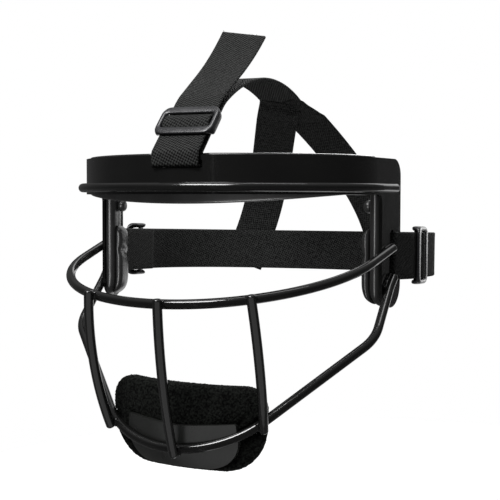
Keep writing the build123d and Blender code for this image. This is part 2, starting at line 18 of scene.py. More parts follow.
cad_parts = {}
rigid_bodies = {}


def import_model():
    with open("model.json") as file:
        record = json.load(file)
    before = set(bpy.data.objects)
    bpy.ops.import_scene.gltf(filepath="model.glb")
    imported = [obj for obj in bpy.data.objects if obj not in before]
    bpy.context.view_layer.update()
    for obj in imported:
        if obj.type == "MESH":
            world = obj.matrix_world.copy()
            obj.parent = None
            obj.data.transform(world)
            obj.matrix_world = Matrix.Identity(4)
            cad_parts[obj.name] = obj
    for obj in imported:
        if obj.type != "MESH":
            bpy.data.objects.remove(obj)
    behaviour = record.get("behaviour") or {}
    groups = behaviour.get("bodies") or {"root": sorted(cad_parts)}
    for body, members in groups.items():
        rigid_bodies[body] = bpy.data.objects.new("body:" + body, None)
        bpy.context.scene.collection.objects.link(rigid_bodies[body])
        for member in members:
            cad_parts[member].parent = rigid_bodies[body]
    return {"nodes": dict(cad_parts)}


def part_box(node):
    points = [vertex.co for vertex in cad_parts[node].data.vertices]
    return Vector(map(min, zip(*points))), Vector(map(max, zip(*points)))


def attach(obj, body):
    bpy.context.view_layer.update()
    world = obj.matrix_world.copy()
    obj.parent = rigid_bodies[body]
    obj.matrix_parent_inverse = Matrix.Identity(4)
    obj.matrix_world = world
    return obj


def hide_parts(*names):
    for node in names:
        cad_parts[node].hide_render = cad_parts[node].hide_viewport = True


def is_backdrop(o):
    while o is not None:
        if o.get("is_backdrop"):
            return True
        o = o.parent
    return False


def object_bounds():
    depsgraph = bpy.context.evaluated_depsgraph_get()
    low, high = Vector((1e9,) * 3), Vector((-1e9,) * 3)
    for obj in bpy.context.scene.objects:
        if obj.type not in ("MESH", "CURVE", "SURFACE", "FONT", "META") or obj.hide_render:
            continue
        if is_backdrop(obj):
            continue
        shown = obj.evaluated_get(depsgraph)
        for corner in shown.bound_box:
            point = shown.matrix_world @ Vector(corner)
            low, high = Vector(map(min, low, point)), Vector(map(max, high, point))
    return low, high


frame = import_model()
cad_low, cad_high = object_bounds()

LOG = logging.getLogger("face_guard")
MM = 0.001
GUARD = "guard"

Material = bpy.types.Material
Object = bpy.types.Object
Socket = bpy.types.NodeSocket
Array = np.ndarray
Triple = tuple[float, float, float]
Face = tuple[int, ...]

UP = np.array([0.0, 0.0, 1.0])


class Slot(Enum):
    """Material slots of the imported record."""

    ENAMEL = "enamelled_steel"
    VINYL = "pad_vinyl"
    FLEECE = "pad_fleece"
    CUP = "cup_plastic"
    WEBBING = "webbing"
    SLIDER = "slider_plastic"


class Side(Enum):
    """The wearer's two sides, as the sign of X."""

    LEFT = 1
    RIGHT = -1

    @property
    def word(self) -> str:
        """Name of the side in a node's name."""
        return self.name.lower()

    @property
    def mirror(self) -> Array:
        """Factors that bring a place on the left to this side."""
        return np.array([self.value, 1, 1])


# Materials


def grey(value: float) -> Triple:
    """A colour without hue."""
    return (value, value, value)


class Tree:
    """Small helper round a node tree."""

    def __init__(self, tree: bpy.types.NodeTree) -> None:
        """Takes the tree to work on."""
        self.tree = tree

    def feed(self, target: Socket, value: object) -> None:
        """Fills an input.

        Args:
            target: The input.
            value: A socket to link to it, or its plain value.
        """
        if isinstance(value, Socket):
            self.tree.links.new(value, target)
        else:
            target.default_value = value

    def add(
        self, kind: str, inputs: dict[str | int, object] | None = None, **values: object
    ) -> bpy.types.Node:
        """Adds a node.

        Args:
            kind: Blender's name of the node, after ShaderNode.
            inputs: Its inputs by name or number, as sockets or plain values.
            values: Its properties.

        Returns:
            The new node.
        """
        node = self.tree.nodes.new(f"ShaderNode{kind}")
        for name, value in values.items():
            setattr(node, name, value)
        for name, value in (inputs or {}).items():
            self.feed(node.inputs[name], value)
        return node

    def math(self, operation: str, *values: object) -> Socket:
        """Result of a math node on sockets or plain values."""
        return self.add("Math", dict(enumerate(values)), operation=operation).outputs[0]


class Nodes(Tree):
    """Node tree of a new material with one Principled shader."""

    def __init__(self, name: str, **values: float | tuple[float, ...]) -> None:
        """Makes the material.

        Args:
            name: Name of the material.
            values: Plain values of the shader's sockets, named in lower case with underscores.
        """
        self.material = bpy.data.materials.new(name)
        self.material.use_nodes = True
        super().__init__(self.material.node_tree)
        self.shader = self.tree.nodes["Principled BSDF"]
        self.places = self.add("TexCoord").outputs["Object"]
        for socket, value in values.items():
            self.shader.inputs[socket.replace("_", " ").title().replace("Ior", "IOR")].default_value = value

    def noise(self, scale: float, detail: float = 3.0, stretch: Triple = (1, 1, 1)) -> Socket:
        """Adds noise in object coordinates.

        Args:
            scale: Features per metre.
            detail: Octaves.
            stretch: Scale along each axis.

        Returns:
            The noise's factor socket.
        """
        mapping = self.add("Mapping", {"Scale": stretch, "Vector": self.places})
        noise = {"Scale": scale, "Detail": detail, "Vector": mapping.outputs["Vector"]}
        return self.add("TexNoise", noise).outputs["Fac"]

    def cells(self, scale: float) -> Socket:
        """Distance socket of cell noise in object coordinates, at a number of cells per metre."""
        return self.add("TexVoronoi", {"Scale": scale, "Vector": self.places}).outputs["Distance"]

    def spread(self, factor: Socket, low: float, high: float) -> Socket:
        """The factor, mapped from 0 to 1 onto the range from low to high."""
        return self.add("MapRange", {"To Min": low, "To Max": high, "Value": factor}).outputs["Result"]

    def shades(self, factor: Socket, low: Triple, high: Triple) -> None:
        """Colours the shader between two shades.

        Args:
            factor: Socket that chooses the shade.
            low: Colour at the factor's lower third.
            high: Triple at its upper third.
        """
        ramp = self.add("ValToRGB", {"Fac": factor})
        for stop, position, colour in zip(ramp.color_ramp.elements, (0.3, 0.7), (low, high)):
            stop.position, stop.color = position, (*colour, 1)
        self.feed(self.shader.inputs["Base Color"], ramp.outputs["Color"])

    def relief(self, *layers: tuple[Socket, float]) -> None:
        """Stacks bump layers on the shader.

        Args:
            layers: Height socket and depth in metres of each layer.
        """
        last: dict[str | int, object] = {}
        for height, depth in layers:
            bump = self.add("Bump", {"Strength": 1.0, "Distance": depth, "Height": height, **last})
            last = {"Normal": bump.outputs["Normal"]}
        self.feed(self.shader.inputs["Normal"], last["Normal"])


@dataclass(frozen=True)
class Grain:
    """One layer of relief: noise, or cells where it has no detail."""

    scale: float
    depth: float
    detail: float = 2.0
    stretch: Triple = (1, 1, 1)

    def layer(self, nodes: Nodes) -> tuple[Socket, float]:
        """Its height socket and depth."""
        made = nodes.noise(self.scale, self.detail, self.stretch) if self.detail else nodes.cells(self.scale)
        return made, self.depth


@dataclass(frozen=True)
class Coat:
    """Smooth finish: cloudy shade and gloss, and grains of relief."""

    name: str
    dark: Triple
    light: Triple
    gloss: tuple[float, float] | None
    cloud: tuple[float, float]
    grains: tuple[Grain, ...]
    shader: dict[str, float]

    def make(self) -> Material:
        """Builds the material."""
        nodes = Nodes(self.name, **self.shader)
        cloud = nodes.noise(*self.cloud)
        nodes.shades(cloud, self.dark, self.light)
        if self.gloss:
            nodes.feed(nodes.shader.inputs["Roughness"], nodes.spread(cloud, *self.gloss))
        nodes.relief(*(grain.layer(nodes) for grain in self.grains))
        return nodes.material


# Gloss enamel baked on steel, with a faint orange peel
ENAMEL = Coat(
    "gloss_enamel", grey(0.005), (0.0075, 0.0075, 0.00725), (0.088, 0.165), (35.0, 4.0),
    (Grain(420.0, 0.05 * MM), Grain(70.0, 0.12 * MM)),
    {"coat_weight": 0.2, "coat_roughness": 0.04, "ior": 1.45})
# Coated vinyl over foam, softly wrinkled and fine grained
VINYL = Coat(
    "pad_vinyl_film", grey(0.0112), grey(0.0196), (0.24, 0.42), (60.0, 4.0),
    (Grain(110.0, 0.3 * MM, 3.0, (1, 1, 0.25)), Grain(1500.0, 0.02 * MM, 0.0)),
    {"ior": 1.48, "coat_weight": 0.15, "coat_roughness": 0.2})
# Injection moulded plastic with a satin skin
CUP = Coat(
    "satin_cup", (0.0119, 0.012325, 0.01173), (0.0182, 0.01885, 0.01794), (0.238, 0.35), (80.0, 3.0),
    (Grain(1100.0, 0.04 * MM), Grain(90.0, 0.15 * MM)), {"ior": 1.5})
SLIDER = Coat(
    "satin_slider", (0.0119, 0.0119, 0.013175), (0.0182, 0.0182, 0.02015), (0.221, 0.325), (80.0, 3.0),
    (Grain(1600.0, 0.04 * MM), Grain(90.0, 0.15 * MM)), {"ior": 1.5})
# Bonded sewing thread
THREAD = Coat(
    "sewing_thread", grey(0.0084), grey(0.0216), None, (2200.0, 2.0),
    (Grain(2200.0, 0.06 * MM),), {"roughness": 0.55, "ior": 1.45})


@dataclass(frozen=True)
class Fleece:
    """Short brushed fleece, matt and mottled."""

    shade: float = 0.006
    tufts: float = 1000.0
    mottle: float = 430.0
    depth: float = 0.6 * MM

    def make(self) -> Material:
        """Builds the material."""
        nodes = Nodes("brushed_fleece", roughness=1.0, sheen_weight=0.006, sheen_roughness=0.6, ior=1.15)
        tufts, mottle = nodes.noise(self.tufts, 4.0), nodes.noise(self.mottle, 3.0)
        mixed = nodes.math("MULTIPLY", nodes.spread(tufts, -0.5, 1.5), nodes.spread(mottle, 0.4, 1.6))
        nodes.shades(mixed, grey(self.shade * 0.25), (self.shade * 1.9, self.shade * 2.1, self.shade * 1.85))
        nodes.relief((mottle, self.depth), (tufts, self.depth))
        return nodes.material


@dataclass(frozen=True)
class Weave:
    """Elastic webbing: crossed diagonal ribs and a little lint, laid out by the strap's own UVs."""

    name: str = "harness_webbing"
    shade: float = 0.02
    pitch: float = 2.0 * MM
    lean: float = 0.35
    contrast: float = 1.6
    depth: float = 0.25 * MM

    def ribs(self, nodes: Nodes, main: Socket, aside: Socket, lean: float) -> Socket:
        """Makes one set of ribs.

        Args:
            nodes: Node helper.
            main: Distance that the ribs count.
            aside: Distance at right angles to it.
            lean: Share of the distance aside that is added.

        Returns:
            The ribs' height from -1 to 1.
        """
        leaning = nodes.math("MULTIPLY_ADD", aside, lean, main)
        return nodes.math("SINE", nodes.math("MULTIPLY", leaning, 2 * math.pi / self.pitch))

    def make(self) -> Material:
        """Builds the material."""
        nodes = Nodes(self.name, roughness=0.9, sheen_weight=0.004, sheen_roughness=0.5, ior=1.2)
        split = nodes.add("SeparateXYZ", {0: nodes.add("UVMap", uv_map="strap").outputs["UV"]})
        along, across = split.outputs["X"], split.outputs["Y"]
        rising = self.ribs(nodes, along, across, self.lean)
        crossed = nodes.math("MULTIPLY", rising, self.ribs(nodes, across, along, -self.lean))
        height = nodes.add("MapRange", {"From Min": -1.0, "Value": crossed}).outputs["Result"]
        lint = nodes.noise(1100.0, 3.0)
        fuzz = nodes.spread(lint, -0.5 * self.contrast - 0.3, 1.3 - 0.5 * self.contrast)
        mixed = nodes.math("MULTIPLY_ADD", height, self.contrast, fuzz)
        nodes.shades(mixed, grey(self.shade * 0.25), (self.shade * 2.0, self.shade * 2.05, self.shade * 2.0))
        nodes.relief((height, self.depth), (lint, self.depth))
        return nodes.material


class Palette:
    """Every finish of the part, made once."""

    def __init__(self) -> None:
        """Makes the materials."""
        self.enamel, self.vinyl, self.fleece = ENAMEL.make(), VINYL.make(), Fleece().make()
        self.cup, self.slider, self.thread = CUP.make(), SLIDER.make(), THREAD.make()
        # The second webbing is the same webbing made darker, with a calmer weave: its darker shade is painted
        # shade for the rear strap and the V branches.
        self.webbing, self.back_webbing = Weave().make(), Weave("back_webbing", 0.015, contrast=0.7).make()


# Mesh helpers


def add_object(name: str, mesh: bpy.types.Mesh, *materials: Material) -> Object:
    """Puts a mesh in the scene.

    Args:
        name: Name of the piece.
        mesh: Its mesh.
        materials: Its finishes.

    Returns:
        The new object.
    """
    for material in materials:
        mesh.materials.append(material)
    piece = bpy.data.objects.new(name, mesh)
    bpy.context.scene.collection.objects.link(piece)
    return piece


def mesh_object(name: str, points: Array, faces: Sequence[Face], material: Material) -> Object:
    """Makes a smooth object from points and faces.

    Args:
        name: Name of the piece.
        points: Places in metres, one row each.
        faces: Corners of each face.
        material: Its finish.

    Returns:
        The new object.
    """
    mesh = bpy.data.meshes.new(name)
    mesh.from_pydata([tuple(map(float, point)) for point in points], [], faces)
    mesh.update()
    made = bmesh.new()
    made.from_mesh(mesh)
    bmesh.ops.recalc_face_normals(made, faces=made.faces)
    made.to_mesh(mesh)
    made.free()
    mesh.polygons.foreach_set("use_smooth", [True] * len(mesh.polygons))
    return add_object(name, mesh, material)


def quads(rows: int, ring: int, start: int = 0, closed: bool = False) -> list[Face]:
    """Faces between rings of points that follow one another.

    Args:
        rows: Number of rings.
        ring: Number of points in each.
        start: Number of the first point.
        closed: Whether the last ring joins the first.

    Returns:
        Corners of each face.
    """
    faces = []
    for row in range(rows if closed else rows - 1):
        here, there = start + row * ring, start + (row + 1) % rows * ring
        for column in range(ring):
            after = (column + 1) % ring
            faces.append((here + column, here + after, there + after, there + column))
    return faces


def settle(piece: Object, body: str = GUARD, replaced: Sequence[str] = ()) -> None:
    """Puts a finished piece on its body.

    Args:
        piece: The piece.
        body: CAD body that carries it.
        replaced: CAD nodes that it stands for.
    """
    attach(piece, body)
    if replaced:
        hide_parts(*replaced)
    LOG.info("%s: %d faces on %s", piece.name, len(piece.data.polygons), body)


def apply_modifiers(piece: Object) -> None:
    """Bakes a piece's modifiers into its mesh."""
    bpy.context.view_layer.update()
    graph = bpy.context.evaluated_depsgraph_get()
    shape = bpy.data.meshes.new_from_object(piece.evaluated_get(graph))
    piece.modifiers.clear()
    piece.data = shape


def subdivide(piece: Object, levels: int = 1) -> None:
    """Subdivides a piece a number of times."""
    modifier = piece.modifiers.new("Smooth", "SUBSURF")
    modifier.levels = modifier.render_levels = levels
    apply_modifiers(piece)


def coordinates(mesh: bpy.types.Mesh) -> Array:
    """Vertex places of a mesh, one row each."""
    flat = np.empty(len(mesh.vertices) * 3)
    mesh.vertices.foreach_get("co", flat)
    return flat.reshape(-1, 3)


def move(piece: Object, places: Array) -> None:
    """Moves a piece's vertices to new places."""
    piece.data.vertices.foreach_set("co", places.ravel())
    piece.data.update()


@dataclass(frozen=True)
class Swelling:
    """Cloth settings of a stuffed pad."""

    pressure: float
    cap: float
    frames: int = 16
    stiffness: float = 12.0
    bending: float = 0.4
    mass: float = 0.2
    quality: int = 6

    def apply(self, piece: Object, held: Array) -> None:
        """Swells a closed pad by cloth simulation.

        Args:
            piece: The pad.
            held: Weight of each vertex, 1 where it stays put.
        """
        rest = coordinates(piece.data)
        group = piece.vertex_groups.new(name="held")
        for index, weight in enumerate(held):
            group.add([index], float(weight), "REPLACE")
        settings = piece.modifiers.new("Cloth", "CLOTH").settings
        settings.quality, settings.mass, settings.bending_stiffness = self.quality, self.mass, self.bending
        settings.tension_stiffness = settings.compression_stiffness = self.stiffness
        settings.use_pressure, settings.uniform_pressure_force = True, self.pressure
        settings.vertex_group_mass = "held"
        settings.effector_weights.gravity = 0
        scene = bpy.context.scene
        for number in range(1, self.frames + 1):
            scene.frame_set(number)
        swollen = piece.evaluated_get(bpy.context.evaluated_depsgraph_get())
        moved = coordinates(swollen.to_mesh()) - rest
        swollen.to_mesh_clear()
        piece.modifiers.clear()
        piece.vertex_groups.clear()
        scene.frame_set(1)
        size = np.linalg.norm(moved, axis=1, keepdims=True)
        moved = moved * np.minimum(1, self.cap / np.maximum(size, 1e-9))
        moved = np.where(np.isfinite(moved), moved, 0)
        move(piece, rest + moved)
        LOG.info("%s swelled by up to %.1f mm", piece.name, float(np.linalg.norm(moved, axis=1).max()) / MM)


def cushion(piece: Object, node: str, cap: float, held: Array) -> None:
    """Swells a vinyl cushion and puts it in the place of its CAD pad.

    Args:
        piece: The cushion.
        node: The CAD node that it stands for.
        cap: Farthest that a point may move, in metres.
        held: Weight of each vertex, 1 where it stays put.
    """
    Swelling(2.0, cap).apply(piece, held)
    subdivide(piece)
    settle(piece, replaced=(node,))


def unit(vector: Array) -> Array:
    """Vectors of length 1, row by row."""
    return vector / np.maximum(np.linalg.norm(vector, axis=-1, keepdims=True), 1e-12)


def distances(points: Array) -> Array:
    """Distance of each point from the first, along the line through them."""
    return np.concatenate([[0], np.cumsum(np.linalg.norm(np.diff(points, axis=0), axis=1))])


@dataclass(frozen=True)
class Step:
    """One step of a bent path: length on the middle line, and turn in degrees, positive to the left."""

    length: float
    turn: float = 0.0


def bend(radius: float, turn: float) -> Step:
    """A bent step.

    Args:
        radius: Its radius.
        turn: Its turn in degrees.

    Returns:
        The step.
    """
    return Step(radius * math.radians(abs(turn)), turn)


@dataclass
class FlatPath:
    """A path of straight and bent steps, walked in a plane."""

    start: tuple[float, float]
    heading: float
    steps: list[Step]

    def walk(self, spacing: float = 2.0 * MM) -> tuple[Array, Array, Array]:
        """Samples the path.

        Args:
            spacing: Longest gap between samples.

        Returns:
            Points, unit headings and distances along it.
        """
        point, heading, travelled = np.array(self.start, float), math.radians(self.heading), 0.0
        points, headings, lengths = [point], [heading], [0.0]
        for step in self.steps:
            pieces = max(1, math.ceil(step.length / spacing), math.ceil(abs(step.turn) / 12))
            part, turn = step.length / pieces, math.radians(step.turn) / pieces
            for _ in range(pieces):
                chord = part if not step.turn else 2 * part / abs(turn) * math.sin(abs(turn) / 2)
                middle = heading + turn / 2
                point = point + chord * np.array([math.cos(middle), math.sin(middle)])
                heading += turn
                travelled += part
                points.append(point)
                headings.append(heading)
                lengths.append(travelled)
        flat = np.array(headings)
        return np.array(points), np.column_stack([np.cos(flat), np.sin(flat)]), np.array(lengths)


@dataclass
class Ribbon:
    """A length of webbing along a line of middles, with a rounded selvedge and a slight crown."""

    width: float = 25.4 * MM
    thickness: float = 1.5 * MM
    columns: int = 10
    selvedge: float = 0.08 * MM

    def section(self) -> tuple[Array, Array]:
        """Cross section points, as distances across and through the webbing."""
        half, deep = self.width / 2, self.thickness / 2
        across = np.linspace(-half + deep, half - deep, self.columns)
        ribbed = deep + self.selvedge * (np.abs(across) > half * 0.86)
        arc = np.radians([-60, -20, 20, 60])
        right = np.column_stack([half - deep + deep * np.cos(arc), deep * np.sin(arc)])
        top = np.column_stack([across[::-1], ribbed[::-1]])
        left = np.column_stack([-half + deep - deep * np.cos(arc), -deep * np.sin(arc)])
        bottom = np.column_stack([across, -ribbed])
        ring = np.vstack([bottom, right, top, left])
        return ring[:, 0], ring[:, 1]

    def make(
        self, name: str, middles: Array, across: Array, material: Material, press: Array | float = 1.0
    ) -> Object:
        """Builds the strap.

        Args:
            name: Name of the piece.
            middles: Middle of each section.
            across: Unit vector across the strap at each section.
            material: Its finish.
            press: Share of the thickness that is left at each section.

        Returns:
            The strap, with its length and width in metres as UVs.
        """
        along = unit(np.gradient(middles, axis=0))
        across = unit(across - along * (across * along).sum(1, keepdims=True))
        normal = np.cross(across, along)
        side, through = self.section()
        count, ring = len(middles), len(side)
        deep = np.broadcast_to(press, count)[:, None] * through
        points = middles[:, None] + across[:, None] * side[:, None] + normal[:, None] * deep[:, :, None]
        caps = [tuple(range(ring)), tuple(range((count - 1) * ring, count * ring))]
        piece = mesh_object(name, points.reshape(-1, 3), quads(count, ring) + caps, material)
        for cut in (-1, -2):
            piece.data.polygons[cut].use_smooth = False
        travelled = distances(middles)
        layer = piece.data.uv_layers.new(name="strap")
        for loop in piece.data.loops:
            row, column = divmod(loop.vertex_index, ring)
            layer.data[loop.index].uv = (travelled[row], side[column])
        return piece


@dataclass
class Pillow:
    """A closed pad over a rounded outline, lofted through a profile of insets and heights."""

    half_width: float
    half_height: float
    radii: tuple[float, float, float, float]
    profile: list[tuple[float, float]]
    spacing: float = 2.0 * MM

    def half_ring(self, inset: float, low: float, high: float) -> Array:
        """Right half of the outline, from the middle of the bottom to the middle of the top.

        Args:
            inset: Distance inwards from the outline.
            low: Radius of the bottom corner.
            high: Radius of the top corner.

        Returns:
            Points of the half outline.
        """
        wide, tall = self.half_width - inset, self.half_height - inset
        low, high = (max(min(radius - inset, wide * 0.98, tall * 0.98), 0.02 * MM) for radius in (low, high))
        flat = max(3, math.ceil(self.half_width / self.spacing))
        upright = max(3, math.ceil(self.half_height / self.spacing))
        points = [(x, -tall) for x in np.linspace(0, wide - low, flat, endpoint=False)]
        turn = np.linspace(-math.pi / 2, 0, 6, endpoint=False)
        points += [(wide - low + low * math.cos(a), -tall + low + low * math.sin(a)) for a in turn]
        points += [(wide, y) for y in np.linspace(-tall + low, tall - high, upright, endpoint=False)]
        turn = np.linspace(0, math.pi / 2, 6, endpoint=False)
        points += [(wide - high + high * math.cos(a), tall - high + high * math.sin(a)) for a in turn]
        points += [(x, tall) for x in np.linspace(wide - high, 0, flat)]
        return np.array(points)

    def shell(self) -> tuple[Array, list[Face]]:
        """Points, as distances across, up and outwards, and faces of the pad."""
        right_low, right_high, left_high, left_low = self.radii
        rings = []
        for inset, height in self.profile:
            right = self.half_ring(inset, right_low, right_high)
            left = self.half_ring(inset, left_low, left_high) * [-1, 1]
            ring = np.vstack([right, left[-2:0:-1]])
            rings.append(np.column_stack([ring, np.full(len(ring), height)]))
        ring = len(rings[0])
        faces = quads(len(rings), ring)
        half = ring // 2
        if self.half_width > self.half_height:
            right = [(index, index + 1, half - index - 1, half - index) for index in range(half // 2)]
            strips = right + [tuple(-corner % ring for corner in strip) for strip in right]
        else:
            strips = [(index, index + 1, -index - 1, -index) for index in range(half)]
        for first in (0, (len(rings) - 1) * ring):
            for strip in strips:
                distinct = list(dict.fromkeys(first + corner % ring for corner in strip))
                if len(distinct) > 2:
                    faces.append(tuple(distinct))
        return np.vstack(rings), faces


def pad_profile(
    thickness: float, edge: float, crown: float, reach: float, back: float = 0.8 * MM
) -> list[tuple[float, float]]:
    """Profile of a stuffed pad: flat back, bulging side, rounded edge and a crowned face.

    Args:
        thickness: Thickness at the edge.
        edge: Radius of the rounded edge.
        crown: Extra height at the middle.
        reach: Inset of the last ring.
        back: Radius at the back.

    Returns:
        Insets and heights, from the back to the face.
    """
    profile = [(share * reach, 0.0) for share in (1.0, 0.75, 0.5, 0.25)]
    profile += [(back, 0.0), (back * 0.3, back * 0.3), (0.0, back)]
    walls = max(1, math.ceil((thickness - edge - back) / (2 * MM)))
    profile += [(0.0, back + (thickness - edge - back) * n / walls) for n in range(1, walls + 1)]
    for angle in (22, 45, 68, 90):
        turn = math.radians(angle)
        profile.append((edge * (1 - math.cos(turn)), thickness - edge + edge * math.sin(turn)))
    for share in (0.2, 0.4, 0.6, 0.8, 1.0):
        inset = edge + (reach - edge) * share
        profile.append((inset, thickness + crown * math.sin(share * math.pi / 2)))
    return profile


def spine(points: Sequence[Array], radius: float, name: str, material: Material) -> Object:
    """Round thread along points, as a mesh.

    Args:
        points: Places it goes through.
        radius: Its radius.
        name: Name of the piece.
        material: Its finish.

    Returns:
        The new object.
    """
    curve = bpy.data.curves.new(name, "CURVE")
    curve.dimensions, curve.use_fill_caps = "3D", True
    curve.bevel_depth, curve.bevel_resolution = radius, 2
    line = curve.splines.new("POLY")
    line.points.add(len(points) - 1)
    for target, place in zip(line.points, points):
        target.co = (*map(float, place), 1)
    holder = bpy.data.objects.new(name, curve)
    bpy.context.scene.collection.objects.link(holder)
    bpy.context.view_layer.update()
    mesh = bpy.data.meshes.new_from_object(holder.evaluated_get(bpy.context.evaluated_depsgraph_get()))
    bpy.data.objects.remove(holder)
    mesh.polygons.foreach_set("use_smooth", [True] * len(mesh.polygons))
    mesh.materials.clear()
    return add_object(name, mesh, material)


def join(name: str, pieces: Sequence[Object]) -> Object:
    """Joins pieces into one mesh.

    Args:
        name: Name of the joined piece.
        pieces: What to join, all of one finish.

    Returns:
        The joined piece.
    """
    made = bmesh.new()
    for piece in pieces:
        made.from_mesh(piece.data)
    mesh = bpy.data.meshes.new(name)
    made.to_mesh(mesh)
    made.free()
    joined = add_object(name, mesh, *pieces[0].data.materials)
    for piece in pieces:
        bpy.data.objects.remove(piece)
    return joined


def solid(name: str) -> bpy.types.Mesh:
    """Mesh of a CAD solid."""
    return frame["nodes"][name].data


def tree_of(*meshes: bpy.types.Mesh) -> BVHTree:
    """Search tree over some meshes."""
    points: list[Triple] = []
    faces: list[list[int]] = []
    for mesh in meshes:
        start = len(points)
        points += [tuple(vertex.co) for vertex in mesh.vertices]
        faces += [[start + index for index in polygon.vertices] for polygon in mesh.polygons]
    return BVHTree.FromPolygons(points, faces)


def touching(mesh: bpy.types.Mesh, tree: BVHTree, reach: float) -> Array:
    """Vertex places of a mesh that lie within a reach of another mesh's search tree."""
    return np.array([place for place in coordinates(mesh) if tree.find_nearest(Vector(place))[3] < reach])


def dress_node(name: str, material: Material, rim: float = 0.0) -> None:
    """Gives a CAD solid a finish and a rounded rim.

    Args:
        name: Name of the node.
        material: Its finish.
        rim: Width of the rounding on its sharp edges.
    """
    piece = frame["nodes"][name]
    piece.data.materials.clear()
    piece.data.materials.append(material)
    if rim:
        bevel = piece.modifiers.new("Rim", "BEVEL")
        bevel.width, bevel.segments = rim, 2
        bevel.limit_method, bevel.angle_limit = "ANGLE", math.radians(50)
        bevel.harden_normals = True
    LOG.info("%s dressed as %s", name, material.name)


# The band's plan, which plate, brow pad and temple pads share


@dataclass(frozen=True)
class Band:
    """Plan of the brow band and the temple plates, from the outer face of the sheet."""

    reach: float = 101.0 * MM
    bottom: float = 15.5 * MM
    top: float = 34.5 * MM
    front_radius: float = 88.8 * MM
    front_turn: float = 51.5
    corner_radius: float = 59.9 * MM
    splay: float = 6.0
    lead: float = 7.5 * MM
    plate: float = 26.0 * MM
    sheet: float = 1.8 * MM
    gap: float = 0.3 * MM

    def half(self, leg: float) -> FlatPath:
        """Left half of the plan, from the front, with a straight leg at its end."""
        front = bend(self.front_radius, self.front_turn)
        corner = bend(self.corner_radius, 90 - self.splay - self.front_turn)
        return FlatPath((0.0, -self.reach), 0.0, [front, corner, Step(leg)])

    def plate_axes(self, side: Side) -> tuple[Array, Array, Array]:
        """Front edge of a temple plate, unit vector to its rear, and unit vector inwards."""
        points, headings, _ = self.half(self.lead).walk()
        front, rearward = points[-1], headings[-1]
        inward = np.array([-rearward[1], rearward[0]])
        mirror = np.array([side.value, 1])
        return tuple(np.append(vector * mirror, 0.0) for vector in (front, rearward, inward))


BAND = Band()


